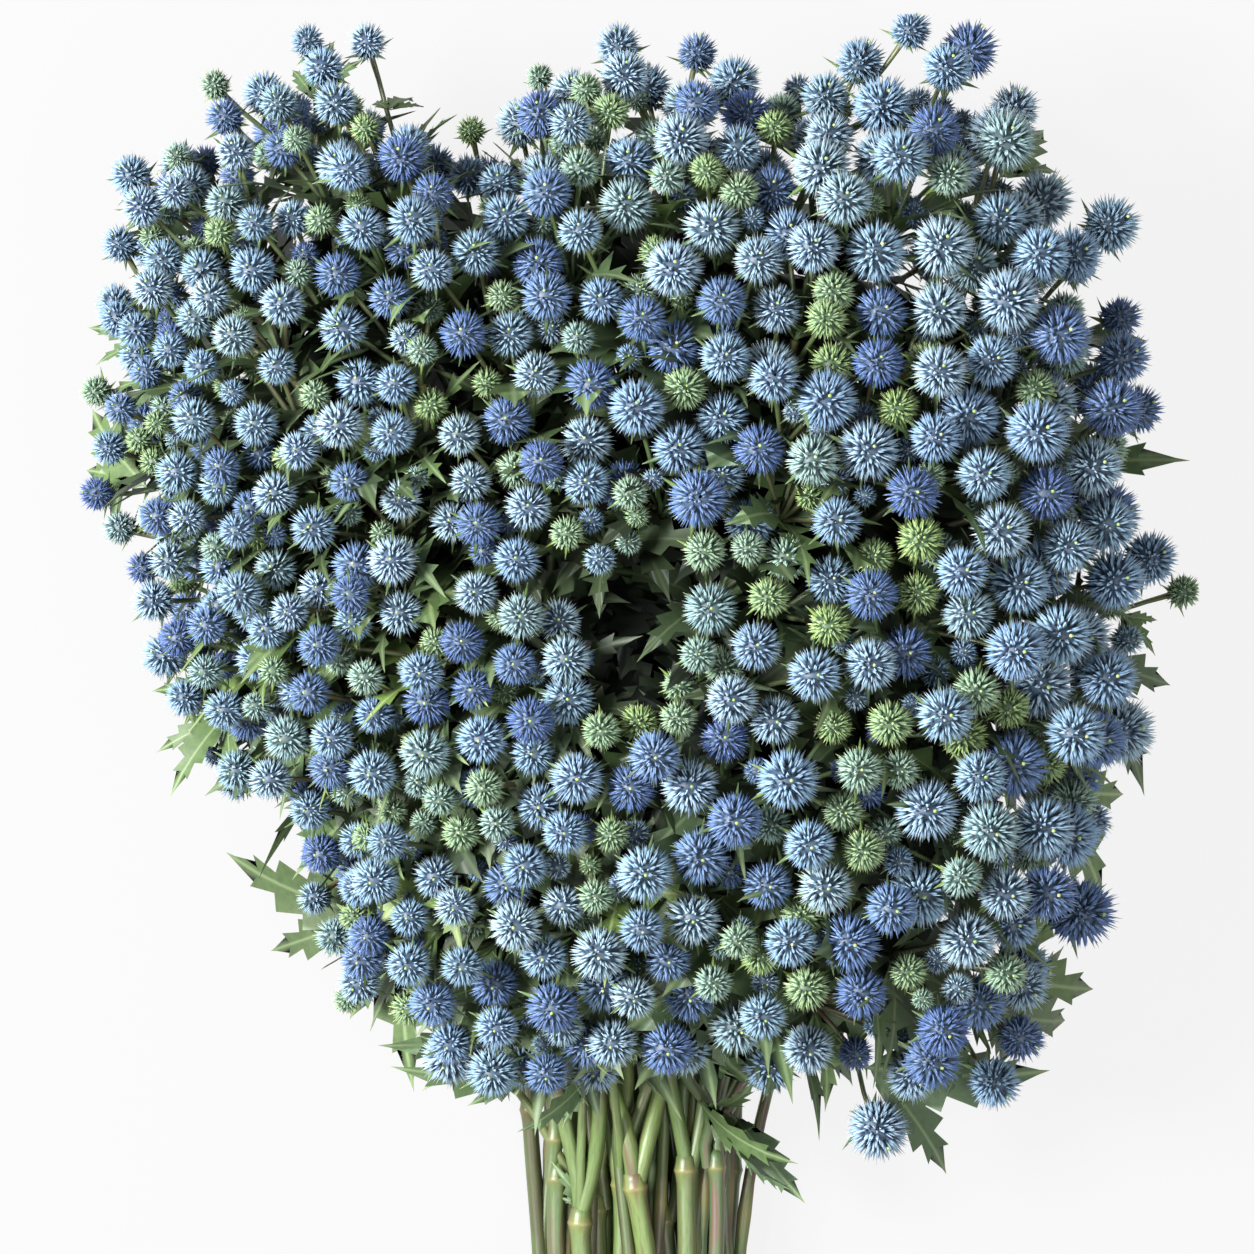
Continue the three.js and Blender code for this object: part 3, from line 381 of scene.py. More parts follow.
def seeded_draw(seed):
    """The same stream of numbers from 0 to 1 as the CAD part's."""
    mask = 0xFFFFFFFF
    state = seed

    def draw():
        nonlocal state
        state = (state + 0x6D2B79F5) & mask
        mixed = ((state ^ (state >> 15)) * (state | 1)) & mask
        mixed ^= (mixed + ((mixed ^ (mixed >> 7)) * (mixed | 61))) & mask
        return (mixed ^ (mixed >> 14)) / 4294967296

    return draw


def vec(*values):
    return np.array(values, float)


def mix(a, b, t):
    return a + (b - a) * t


def unit(vectors):
    return vectors / np.maximum(np.linalg.norm(vectors, axis=-1, keepdims=True), 1e-12)


def dot(a, b):
    return (a * b).sum(-1)


def round_half_up(value):
    return math.floor(value + 0.5)


def basis(axis):
    """Two directions square to an axis."""
    helper = UP if abs(axis[2]) < 0.9 else vec(1, 0, 0)
    u = unit(np.cross(helper, axis))
    return u, np.cross(axis, u)


def circle(turns, u, v):
    """The directions at some turns from u towards v."""
    return np.cos(turns)[..., None] * u + np.sin(turns)[..., None] * v


# ---- Flower heads: where they are ----

@dataclass
class Head:
    point: np.ndarray
    radius: float
    young: bool
    facing: np.ndarray
    held: bool = False


@dataclass
class Limb:
    at: int
    level: int
    parent: int
    head: bool = False
    limbs: list = field(default_factory=list)


@dataclass
class Leaf:
    stem: int
    base: np.ndarray
    tip: np.ndarray


def outline_radius(angle):
    turn = (math.degrees(angle) + 360) % 360
    index = max(k for k, (start, _) in enumerate(OUTLINE) if start <= turn)
    start_angle, start_radius = OUTLINE[index]
    end_angle, end_radius = OUTLINE[(index + 1) % len(OUTLINE)]
    share = (turn - start_angle) / ((end_angle - start_angle + 360) % 360)
    return mix(start_radius, end_radius, (1 - math.cos(math.pi * share)) / 2)


def facing(point):
    away = point - FACING_CENTRE
    if away[1] < 0:
        away[1] *= FACING_DROOP
    return unit(away)


def in_gap(point, margin):
    dx, dy = point[0] - GAP_CENTRE[0], point[1] - GAP_CENTRE[1]
    across = (dx * math.cos(GAP_TURN) + dy * math.sin(GAP_TURN)) / (GAP_HALF_WIDTH + margin)
    along = (dy * math.cos(GAP_TURN) - dx * math.sin(GAP_TURN)) / (GAP_HALF_HEIGHT + margin)
    return point[2] > MASS_CENTRE[2] and across**2 + along**2 < 1


def in_bundle(point, margin):
    below_reach = point[1] < NECK_Y + BUNDLE_REACH
    beside = abs(point[0] - BUNDLE_X) >= BUNDLE_HALF_WIDTH + margin
    return below_reach and not beside and point[2] < BUNDLE_HEIGHT + margin


def dome_level(share):
    return (1 - share**MASS_POWER) ** (1 / MASS_POWER)


def draw_place(random, on_face):
    share = random()
    angle = TURN * random()
    height = 0 if on_face else mix(-SIDE_DOWN * MASS_BOTTOM, SIDE_UP * MASS_TOP, share)
    limit = MASS_TOP if height > 0 else MASS_BOTTOM
    level = math.sqrt(share) if on_face else dome_level(abs(height) / limit)
    z = MASS_TOP * dome_level(level) if on_face else height
    reach = level * outline_radius(angle)
    return vec(reach * math.cos(angle), reach * math.sin(angle), z)


def share_rightwards(point):
    return min(1, max(0, (point[0] + MASS_HALF_WIDTH) / (2 * MASS_HALF_WIDTH)))


def head_radius(point, random):
    share = share_rightwards(point)
    return mix(HEAD_RADIUS_LEFT, HEAD_RADIUS_RIGHT, share) * (1 + HEAD_SPREAD * (random() - 0.5))


def draw_head(random, on_face):
    place = draw_place(random, on_face)
    young = random() < BUD_SHARE
    radius = head_radius(MASS_CENTRE + place, random) * (BUD_SCALE if young else 1)
    depth = LAYER_DEPTH * random() ** DEPTH_POWER + (BUD_DEPTH if young else 0)
    length = np.linalg.norm(place)
    point = place * max(length - radius - depth, 0) / length + MASS_CENTRE
    point[2] = max(point[2], LYING_HEIGHT * radius)
    return Head(point, radius, young, facing(point))


def room_round(head, points, facings, radii):
    """The room that a head and the heads there are leave each other, beside their stalklets too."""
    apart = head.point - points
    length = np.linalg.norm(apart, axis=1)
    outward = dot(apart, facings)
    inner = np.where(outward < 0, head.radius, radii)
    beside = np.sqrt(np.maximum(0, length**2 - outward**2)) - inner - STALKLET_ROOM
    beside[np.abs(outward) > STALKLET_REACH] = np.inf
    return min((length - head.radius - radii).min(), beside.min())


def make_heads():
    random = seeded_draw(SEED)
    height = RESTING_HEIGHT * RESTING_RADIUS
    heads = [Head(vec(x, y, height), RESTING_RADIUS, False, -UP, True) for x, y in RESTING_HEADS]
    for x, y, z, radius in PROUD_HEADS:
        heads.append(Head(vec(x, y, z), radius, radius < BUD_RADIUS, facing(vec(x, y, z))))
    while len(heads) < HEAD_COUNT:
        points, facings = np.array([h.point for h in heads]), np.array([h.facing for h in heads])
        radii = np.array([h.radius for h in heads])
        on_face = random() < FACE_SHARE
        best, best_room = None, None
        for _ in range(HEAD_DRAWS):
            head = draw_head(random, on_face)
            barred = in_gap(head.point, head.radius) or in_bundle(head.point, head.radius)
            room = -math.inf if barred else room_round(head, points, facings, radii)
            if best is None or room > best_room:
                best, best_room = head, room
        heads.append(best)
    return heads


# ---- The tree of points and links ----

def share_out(members, heads, count):
    """Halves a set of heads across its widest side until there are as many sets as asked for."""
    if count <= 1:
        return [members]
    points = np.array([heads[index].point for index in members])
    axis = int(np.argmax(points.max(0) - points.min(0)))
    ordered = sorted(members, key=lambda index: heads[index].point[axis])
    first = count // 2
    cut = round_half_up(len(ordered) * first / count)
    return share_out(ordered[:cut], heads, first) + share_out(ordered[cut:], heads, count - first)


def below(members, heads, depth):
    point = np.mean([heads[index].point for index in members], axis=0)
    out = unit(np.sum([heads[index].facing for index in members], axis=0))
    point = point - depth * out
    point[1] -= DEEP_BEND * (depth / FORK_DEPTHS[0]) ** 2
    return point


def bundle_places():
    places = []
    per_layer = STEM_COUNT // BUNDLE_LAYERS
    for layer in range(BUNDLE_LAYERS):
        narrowing = 1 - LAYER_NARROWING * layer
        stagger = LAYER_STAGGER if layer % 2 else -LAYER_STAGGER
        for place in range(per_layer):
            share = (place + 0.5 + stagger) / per_layer
            places.append(((2 * share - 1) * BUNDLE_HALF_WIDTH * narrowing, layer))
    return places


def assign_places(tops):
    """Low and far stems take the lower layers, and within a layer they keep their order."""
    places = bundle_places()
    per_layer = STEM_COUNT // BUNDLE_LAYERS
    by_height = sorted(range(len(tops)), key=lambda k: tops[k][2] - LAYER_SLOPE * tops[k][1])
    assigned = [None] * len(tops)
    for layer in range(BUNDLE_LAYERS):
        members = by_height[layer * per_layer:(layer + 1) * per_layer]
        members.sort(key=lambda k: math.atan2(tops[k][0], tops[k][1] - NECK_Y))
        for place, index in enumerate(members):
            assigned[index] = places[layer * per_layer + place]
    return assigned


def bezier(a, b, c, d, t):
    s = 1 - t
    return s**3 * a + 3 * s * s * t * b + 3 * s * t * t * c + t**3 * d


def lying_path(place, neck_y, random):
    """A stalk's cut end, its middle and its neck, where it starts to rise."""
    x, layer = place
    height = STALK_REST * STALK_RADIUS_CUT + LAYER_HEIGHT * layer
    cut = vec(BUNDLE_X + x * BUNDLE_FLARE, CUT_Y + CUT_STAGGER * (2 * random() - 1), height)
    middle = vec(BUNDLE_X + x * MIDDLE_FLARE, (CUT_Y + NECK_Y) / 2, height + LAYER_SPREAD_MIDDLE * layer)
    return [cut, middle, vec(BUNDLE_X + x, neck_y, height + NECK_RISE + LAYER_SPREAD_NECK * layer)]


def rising_path(neck, fork, sideways):
    """The rest of a stalk, or one of its two leaders, from the neck to a fork."""
    reach = np.linalg.norm(neck - fork)
    leave = neck + vec(sideways, BEND_ONWARDS * reach, BEND_UPWARDS * reach)
    arrive = fork - BEND_INWARDS * reach * facing(fork) - vec(0, BEND_BACK * reach, 0)
    return [bezier(neck, leave, arrive, fork, (step + 1) / STALK_STEPS) for step in range(STALK_STEPS)]


class Tree:
    """Points with their radius and mobility, links between them, and the stems that they make up."""

    def __init__(self, heads):
        self.heads = heads
        self.points = [head.point.copy() for head in heads]
        self.radius = [head.radius for head in heads]
        self.move = [0 if head.held else 1 for head in heads]
        self.links = []
        self.stems = []
        self.grow()
        self.points = np.array(self.points)
        self.radius = np.array(self.radius)
        self.move = np.array(self.move, float)
        self.ends = np.array([link[:2] for link in self.links])
        self.radii = np.array([link[2:4] for link in self.links])
        self.stem_of = np.array([link[4] for link in self.links])
        self.ball_points = None
        self.ball_radii = None

    def add_point(self, at, radius, move):
        self.points.append(at)
        self.radius.append(radius)
        self.move.append(move)
        return len(self.points) - 1

    def grow_limb(self, members, level, stem, parent, parent_radius):
        if level == len(FORK_DEPTHS):
            head = members[0]
            own = self.heads[head].radius
            self.links.append((parent, head, parent_radius, STALKLET_RADIUS, stem))
            self.links.append((head, head, own, own, stem))
            return Limb(head, level, parent, head=True)
        radius = FORK_RADII[level]
        at = parent
        if level > 0:
            at = self.add_point(below(members, self.heads, FORK_DEPTHS[level]), radius, 1)
            self.links.append((parent, at, parent_radius, radius, stem))
        shares = share_out(members, self.heads, round_half_up(len(members) / FORK_HEADS[level]))
        limbs = [self.grow_limb(share, level + 1, stem, at, radius) for share in shares]
        return Limb(at, level, parent, limbs=limbs)

    def top_of(self, members):
        return below(members, self.heads, FORK_DEPTHS[0])

    def extend(self, path, places, radius, stem, move=STALK_MOVE):
        """Adds points to the end of a path, each linked to the one before it."""
        for at in places:
            path.append(self.add_point(at, radius, move))
            self.links.append((path[-2], path[-1], radius, radius, stem))
        return path

    def grow_stem(self, members, place, stem, random):
        """The stalk's path, and a path and its fork for each leader that it divides into."""
        divides = place[1] >= DIVIDING_LAYER
        neck_y = NECK_Y - (mix(*DIVIDING_DROP, random()) if divides else 0)
        cut, middle, neck = lying_path(place, neck_y, random)
        path = [self.add_point(cut, STALK_RADIUS_CUT, 0)]
        self.extend(path, [middle], STALK_RADIUS_CUT, stem, 0)
        self.extend(path, [neck], STALK_RADIUS_CUT, stem)
        sideways = BEND_SIDEWAYS * place[0]
        if not divides:
            self.extend(path, rising_path(neck, self.top_of(members), sideways), STALK_RADIUS_CUT, stem)
            return path, [([path[-1]], self.grow_limb(members, 0, stem, path[-1], FORK_RADII[0]))]
        halves = sorted(share_out(members, self.heads, 2), key=lambda half: self.top_of(half)[0])
        leaders = []
        for half, side in zip(halves, (-1, 1)):
            steps = rising_path(neck, self.top_of(half), sideways + side * LEADER_SPREAD)
            leader = self.extend([path[-1]], steps, LEADER_RADIUS, stem)
            leaders.append((leader, self.grow_limb(half, 0, stem, leader[-1], FORK_RADII[0])))
        return path, leaders

    def grow(self):
        random = seeded_draw(SEED + 1)
        groups = share_out(list(range(len(self.heads))), self.heads, STEM_COUNT)
        places = assign_places([self.top_of(members) for members in groups])
        for stem, members in enumerate(groups):
            self.stems.append(self.grow_stem(members, places[stem], stem, random))


# ---- Pushing the tree apart ----

def closest(one_start, one_end, other_start, other_end, first=0.0):
    """Where two sets of segments come closest: shares along each, and the vectors between those places."""
    first = np.asarray(first, float)
    skip = first[..., None]
    along, other_along = one_end - one_start, other_end - other_start
    offset = (one_start + along * skip) - (other_start + other_along * skip)
    along, other_along = along * (1 - skip), other_along * (1 - skip)
    a = np.maximum(dot(along, along), 1e-9)
    e = np.maximum(dot(other_along, other_along), 1e-9)
    b, c, f = dot(along, other_along), dot(along, offset), dot(other_along, offset)
    spread = a * e - b * b
    crossing = spread > 1e-9
    guess = np.where(crossing, np.clip((b * f - c * e) / np.where(crossing, spread, 1), 0, 1), 0.5)
    t = np.clip((b * guess + f) / e, 0, 1)
    s = np.clip((b * t - c) / a, 0, 1)
    between = offset + along * s[..., None] - other_along * t[..., None]
    distance = np.maximum(np.linalg.norm(between, axis=-1), 1e-6)
    return mix(first, 1, s), mix(first, 1, t), between, distance


def near_pairs(tree):
    """Links that lie near each other, and the share of both from which they keep clear."""
    a, b = tree.ends.T
    low = np.minimum(tree.points[a], tree.points[b]) - NEIGHBOUR_REACH
    high = np.maximum(tree.points[a], tree.points[b]) + NEIGHBOUR_REACH
    one, other = np.triu_indices(len(a), 1)
    near = ((low[one] <= high[other]) & (high[one] >= low[other])).all(1)
    one, other = one[near], other[near]
    is_head = (a[one] == b[one]) | (a[other] == b[other])
    siblings = ~is_head & (a[one] == a[other])
    joined = (a[one] == a[other]) | (a[one] == b[other]) | (b[one] == a[other]) | (b[one] == b[other])
    kept = siblings | ~joined
    return one[kept], other[kept], np.where(siblings, FORK_SHARE, 0.0)[kept]


def push_apart(tree, one, other, first):
    points, ends, radii = tree.points, tree.ends, tree.radii
    corners = [points[ends[links, side]] for links in (one, other) for side in (0, 1)]
    s, t, between, distance = closest(*corners, first)
    needed = mix(*radii[one].T, s) + mix(*radii[other].T, t) + CLEARANCE
    push = np.maximum(needed - distance, 0) * 0.5 / distance
    between = between * push[:, None]
    shifts = np.zeros_like(points)
    shares = ((ends[one, 0], 1 - s), (ends[one, 1], s), (ends[other, 0], t - 1), (ends[other, 1], -t))
    for index, share in shares:
        np.add.at(shifts, index, between * (share * tree.move[index])[:, None])
    return shifts


def untangle(tree):
    free = tree.move > 0
    for step in range(UNTANGLE_STEPS):
        if step % NEIGHBOUR_STEPS == 0:
            pairs = near_pairs(tree)
        tree.points += push_apart(tree, *pairs)
        tree.points[free, 2] = np.maximum(tree.points[free, 2], LYING_HEIGHT * tree.radius[free])


# ---- Leaves: where they are ----

def leaf_clear(tree, stem, base, tip):
    a, b = tree.points[tree.ends[:, 0]], tree.points[tree.ends[:, 1]]
    s, t, _, distance = closest(base[None], tip[None], a, b, np.zeros(len(a)))
    flank = np.minimum(1, 4 * np.minimum(s, 1 - s) + LEAF_END)
    width = LEAF_WIDTH * np.linalg.norm(tip - base) * flank
    clear = distance > mix(*tree.radii.T, t) + LEAF_FLANK * width + LEAF_ROOM
    return bool((clear | ((tree.stem_of == stem) & (s < LEAF_FOOT))).all())


def add_leaf(tree, leaves, stem, base, tip):
    apart = all(closest(base, tip, leaf.base, leaf.tip)[3] > LEAF_APART for leaf in leaves)
    if apart and leaf_clear(tree, stem, base, tip):
        leaves.append(Leaf(stem, base, tip))
        return True
    return False


def leaf_sites(tree, random):
    """Places just below the forks, as (rank, stem, base), and places on the stalklets likewise."""
    forks, stalklets = [], []

    def add_fork(at, parent, stem):
        knot = tree.points[at]
        forks.append((random(), stem, knot + LEAF_BELOW_FORK * unit(tree.points[parent] - knot)))

    def visit(limb, stem):
        if limb.parent != limb.at:
            add_fork(limb.at, limb.parent, stem)
        for branch in limb.limbs:
            if branch.head:
                base = mix(tree.points[limb.at], tree.points[branch.at], LEAF_UP_STALKLET)
                stalklets.append((1.0, stem, base))
            else:
                visit(branch, stem)

    for stem, (_, leaders) in enumerate(tree.stems):
        for leader, fork in leaders:
            for parent, at in zip(leader, leader[1:-1]):
                add_fork(at, parent, stem)
            visit(fork, stem)
    return sorted(forks, key=lambda site: site[0]), stalklets


def add_fringe_leaf(tree, leaves, sites, x, y):
    """A leaf whose tip shows at the edge of the mass, at the first height and place that has room."""
    for z in LEAF_TIP_HEIGHTS:
        tip = vec(x, y, z)
        far = sorted((np.linalg.norm(base - tip), stem, tuple(base)) for _, stem, base in sites)
        near = [site for site in far if LEAF_SHORTEST < site[0] < LEAF_LONGEST]
        if any(add_leaf(tree, leaves, stem, vec(*base), tip) for _, stem, base in near):
            return


def make_leaves(tree):
    random = seeded_draw(SEED + 2)
    leaves = []
    forks, stalklets = leaf_sites(tree, random)
    for x, y in LEAF_TIPS:
        add_fringe_leaf(tree, leaves, forks + stalklets, x, y)
    for _, stem, base in forks:
        out = facing(base)
        for _ in range(LEAF_TRIES):
            if len(leaves) >= LEAF_LIMIT:
                break
            turn = TURN * random()
            length = LEAF_LENGTH * (1 + LEAF_SPREAD * (random() - 0.5))
            tip = base + length * (LEAF_SIDEWAYS * circle(turn, *basis(out)) + LEAF_OUTWARDS * out)
            if tip[2] > LEAF_HEIGHT and add_leaf(tree, leaves, stem, base, tip):
                break
    return leaves


# ---- Meshes ----

MATERIALS = ("floret", "stalk", "blade", "pith")


class Body:
    """One stem's corners and triangles as it grows, with what its materials read at each corner.

    along runs from root to end, tone holds the part's own look and, on leaves and stalks, their painted
    shade, and grain is where the fine pattern is read. Edges between two corners on a rim stay sharp.
    """

    def __init__(self):
        self.parts = []
        self.count = 0

    def add(self, corners, triangles, material, along, tone=(0, 0, 0), grain=None, rim=False):
        count = len(corners)
        slots = np.full(len(triangles), MATERIALS.index(material))
        grain = corners if grain is None else grain
        attributes = (np.broadcast_to(along, count), np.broadcast_to(tone, (count, 3)),
                      np.broadcast_to(grain, (count, 3)), np.broadcast_to(rim, count))
        self.parts.append((corners, triangles + self.count, slots, *attributes))
        self.count += count

    def gathered(self):
        return [np.concatenate(columns) for columns in zip(*self.parts)]


def box_walls():
    """The CAD part's box, in the coordinates used here."""
    return [np.array(corner) / MM + ORIGIN for corner in cad_box]


def room_within(point, directions):
    """How far each direction runs from a point before it leaves the CAD part's box."""
    low, high = box_walls()
    wall = np.where(directions > 0, high, low)
    steps = (wall - point) / np.where(np.abs(directions) < 1e-6, 1e-6, directions)
    return np.maximum(steps.min(-1) - BOX_MARGIN, 0)


def repeated(template, count, step):
    """A template's triangles for each of several copies, whose corners follow each other."""
    return (np.asarray(template)[None] + step * np.arange(count)[:, None, None]).reshape(-1, 3)


def steps_along(path):
    return np.linalg.norm(np.diff(path, axis=0), axis=1)


def bell(offset, width):
    return np.exp(-((offset / width) ** 2))


def frames_along(path):
    """Two directions square to a path at each of its points, which turn as little as they can."""
    along = unit(np.gradient(path, axis=0))
    side = basis(along[0])[0]
    sides = np.empty_like(path)
    for k, direction in enumerate(along):
        side = unit(side - direction * (side @ direction))
        sides[k] = side
    return sides, np.cross(along, sides)


def add_cap(body, middle, ring, facing_back, cut, along, tone):
    """The end of a rod, which shows its pith where it is cut."""
    count = len(ring)
    place = np.arange(count)
    fan = np.column_stack([np.zeros(count, int), (place + 1) % count + 1, place + 1])
    share = np.minimum(np.arange(count + 1), 1.0)
    body.add(np.vstack([middle, ring]), fan if facing_back else fan[:, ::-1],
             "pith" if cut else "stalk", share if cut else along, tone, rim=cut)


def tube_triangles(rows, sides):
    row, column = np.meshgrid(np.arange(rows - 1), np.arange(sides), indexing="ij")
    a = (row * sides + column).ravel()
    b = (row * sides + (column + 1) % sides).ravel()
    return np.vstack([np.column_stack([a, b, b + sides]), np.column_stack([a, b + sides, a + sides])])


def add_tube(body, path, radii, sides, along, tone, rib_depth=0.0, open_end=False):
    """A round or ribbed rod along a path. An open end is a cut with its own face, at the path's start."""
    u, v = frames_along(path)
    rows, turns = len(path), TURN * np.arange(sides) / sides
    ribs = 1 + rib_depth * np.cos(turns * sides / 2)
    rings = path[:, None] + radii[:, None, None] * ribs[:, None] * circle(turns, u[:, None], v[:, None])
    travelled = np.concatenate([[0], np.cumsum(steps_along(path))])
    grain = np.tile(GRAIN_ROUND * circle(turns, vec(1, 0, 0), vec(0, 1, 0)), (rows, 1, 1))
    grain[:, :, 2] = GRAIN_ALONG * travelled[:, None] + path[0, 0]
    rim = np.zeros((rows, sides), bool)
    rim[0] = open_end
    along = np.repeat(np.broadcast_to(along, rows), sides)
    body.add(rings.reshape(-1, 3), tube_triangles(rows, sides), "stalk", along, tone,
             grain.reshape(-1, 3), rim.ravel())
    add_cap(body, path[0], rings[0], True, open_end, along[-1], tone)
    add_cap(body, path[-1], rings[-1], False, False, along[-1], tone)


# ---- Heads ----

# A spike has three corners round its root, which is open inside the core, and one at its end.
SPIKE_TRIANGLES = [(3, 0, 1), (3, 1, 2), (3, 2, 0)]
THIRDS = TURN * np.arange(3) / 3


def spread_over(count, axis, start, lowest):
    """Directions in spirals from the top of a head down to its lowest florets."""
    steps = np.arange(count)
    height = 1 - (1 + lowest) * (steps + 0.5) / count
    level = np.sqrt(1 - height**2)
    outward = circle(start + GOLDEN_TURN * steps, *basis(axis))
    return level[:, None] * outward + np.outer(height, axis)


def add_spikes(body, centre, directions, radius, reach, width, pale, tone, rng):
    """Three-sided spikes, such as florets and spines, that stand out of a head's core."""
    count = len(directions)
    p = unit(np.cross(directions, rng.normal(size=directions.shape)))
    q = np.cross(directions, p)
    turned = circle(THIRDS, p[:, None], q[:, None])
    roots = centre + radius * (SPIKE_ROOT * directions[:, None] + width * turned)
    ends = centre + directions * np.minimum(reach, room_within(centre, directions))[:, None]
    corners = np.concatenate([roots, ends[:, None]], 1).reshape(-1, 3)
    along = np.tile([ROOT_ALONG, ROOT_ALONG, ROOT_ALONG, pale], count)
    body.add(corners, repeated(SPIKE_TRIANGLES, count, 4), "floret", along, tone)


def core_triangles():
    """A ball's triangles between its two poles and its two belts."""
    triangles = []
    for k in range(CORE_SIDES):
        upper, upper_next = 2 + k, 2 + (k + 1) % CORE_SIDES
        lower, lower_next = upper + CORE_SIDES, upper_next + CORE_SIDES
        triangles += [(0, upper, upper_next), (upper, lower, upper_next)]
        triangles += [(lower, lower_next, upper_next), (1, lower_next, lower)]
    return np.array(triangles)


CORE_TRIANGLES = core_triangles()


def add_core(body, centre, radius, along, tone, rng):
    """A small ball about a slanted axis, such as the core that the florets stand on, dark with the roots'
    painted shade.
    """
    u, v = basis(unit(rng.normal(size=3)))
    axis = np.cross(u, v)
    corners = [centre + radius * axis, centre - radius * axis]
    for height, start in ((0.5, 0.0), (-0.5, math.pi / CORE_SIDES)):
        turns = start + TURN * np.arange(CORE_SIDES) / CORE_SIDES
        ring = math.sqrt(1 - height**2) * circle(turns, u, v)
        corners.extend(centre + radius * (height * axis + ring))
    body.add(np.array(corners), CORE_TRIANGLES, "floret", along, tone)


# Each kind of head: how often it occurs on the left and on the right of the bunch, and the ranges of its
# violet, green and pale shares.
KINDS = [
    (0.44, 0.36, (0.00, 0.30), (0.02, 0.14), (0.30, 0.65)),
    (0.18, 0.12, (0.55, 0.95), (0.00, 0.04), (0.10, 0.40)),
    (0.18, 0.26, (0.05, 0.30), (0.02, 0.15), (0.75, 1.00)),
    (0.09, 0.12, (0.00, 0.10), (0.15, 0.42), (0.45, 0.85)),
    (0.11, 0.13, (0.60, 1.00), (0.00, 0.05), (0.00, 0.10)),
]
YOUNG_KIND = (0, 0, (0.00, 0.05), (0.45, 0.95), (0.30, 0.90))


def head_tone(head, rng):
    share = share_rightwards(head.point)
    weights = np.array([mix(left, right, share) for left, right, *_ in KINDS])
    kind = KINDS[rng.choice(len(KINDS), p=weights / weights.sum())]
    _, _, *ranges = YOUNG_KIND if head.young else kind
    return np.array([rng.uniform(*limits) for limits in ranges])


def add_head(body, head, centre, axis, rng):
    """A ball of florets with spines between them, slightly longer than wide."""
    tone = head_tone(head, rng)
    radius = mix(*HEAD_SIZES, share_rightwards(head.point)) * head.radius
    fullness = min(MOST_SPIKES, radius / FULL_RADIUS)
    stoutness = YOUNG_STOUTNESS if head.young else 1
    # the core takes the roots' colour, with its painted shade
    add_core(body, centre, HEAD_CORE * radius, ROOT_ALONG, tone, rng)
    for full, width, least, greatest, pale in (FLORETS, SPINES):
        directions = spread_over(round(full * fullness), axis, rng.uniform(0, TURN), HEAD_BARE)[1:]
        directions = unit(directions + rng.normal(scale=SPREAD_JITTER, size=directions.shape))
        reach = radius * (1 + HEAD_EGG * np.maximum(0, directions @ axis))
        reach = reach * rng.uniform(least, greatest, len(reach))
        add_spikes(body, centre, directions, radius, reach, width * stoutness, pale, tone, rng)
    eye = centre + EYE_HEIGHT * (1 + HEAD_EGG) * radius * axis
    add_core(body, eye, EYE_RADIUS * radius, EYE_PALE, EYE_TONE, rng)


# ---- Blades ----

# A bract is a slim keeled spike with a tooth on each side: (share of the length, sideways, upwards).
BRACT_CORNERS = np.array([
    (0, 0, 0), (0.36, 0.1, 0), (0.36, -0.1, 0), (0.36, 0, 0.045), (1, 0, 0),
    (0.2, 0.045, 0.01), (0.4, 0.05, 0.01), (0.3, 0.02, -0.03), (0.52, 0.25, 0.03),
    (0.2, -0.045, 0.01), (0.4, -0.05, 0.01), (0.3, -0.02, -0.03), (0.52, -0.25, 0.03),
])
BRACT_TRIANGLES = [
    (0, 2, 1), (0, 1, 3), (0, 3, 2), (4, 1, 2), (4, 3, 1), (4, 2, 3),
    (5, 7, 6), (8, 5, 6), (8, 7, 5), (8, 6, 7),
    (9, 10, 11), (12, 10, 9), (12, 9, 11), (12, 11, 10),
]
BRACT_ALONG = np.array([0, 0.5, 0.5, 0.2, 1, 0.4, 0.4, 0.4, 1, 0.4, 0.4, 0.4, 1])


def add_bracts(body, foot, axis, radius, tone, rng):
    """The whorl of narrow spiny bracts under a head."""
    turns = TURN * (np.arange(BRACTS) + rng.uniform(-BRACT_JITTER, BRACT_JITTER, BRACTS)) / BRACTS
    rise = rng.uniform(*BRACT_RISE, BRACTS)
    length = radius * rng.uniform(*BRACT_LENGTH, BRACTS)
    outward = circle(turns, *basis(axis))
    onward = unit(outward * np.cos(rise)[:, None] + np.outer(np.sin(rise), axis))
    side = np.cross(np.broadcast_to(axis, onward.shape), onward)
    upward = np.cross(onward, side)
    share, across, lift = BRACT_CORNERS.T[:, None, :, None]
    lift = lift + BRACT_CURL * share**2
    corners = foot + length[:, None, None] * (
        share * onward[:, None] + across * side[:, None] + lift * upward[:, None])
    body.add(corners.reshape(-1, 3), repeated(BRACT_TRIANGLES, BRACTS, len(BRACT_CORNERS)), "blade",
             np.tile(BRACT_ALONG, BRACTS), tone)


def blade_edge(lobes, cut_width):
    """One edge of a cut blade, from base to tip: (share of the length, share of the half width)."""
    edge = list(BLADE_FOOT)
    for share, reach in lobes:
        edge += [(share - CUT_BEFORE, cut_width(reach)), (share + LOBE_SWEEP, reach)]
    share, reach = lobes[-1]
    return np.array([*edge, (share + CUT_AFTER, cut_width(reach)), BLADE_END])


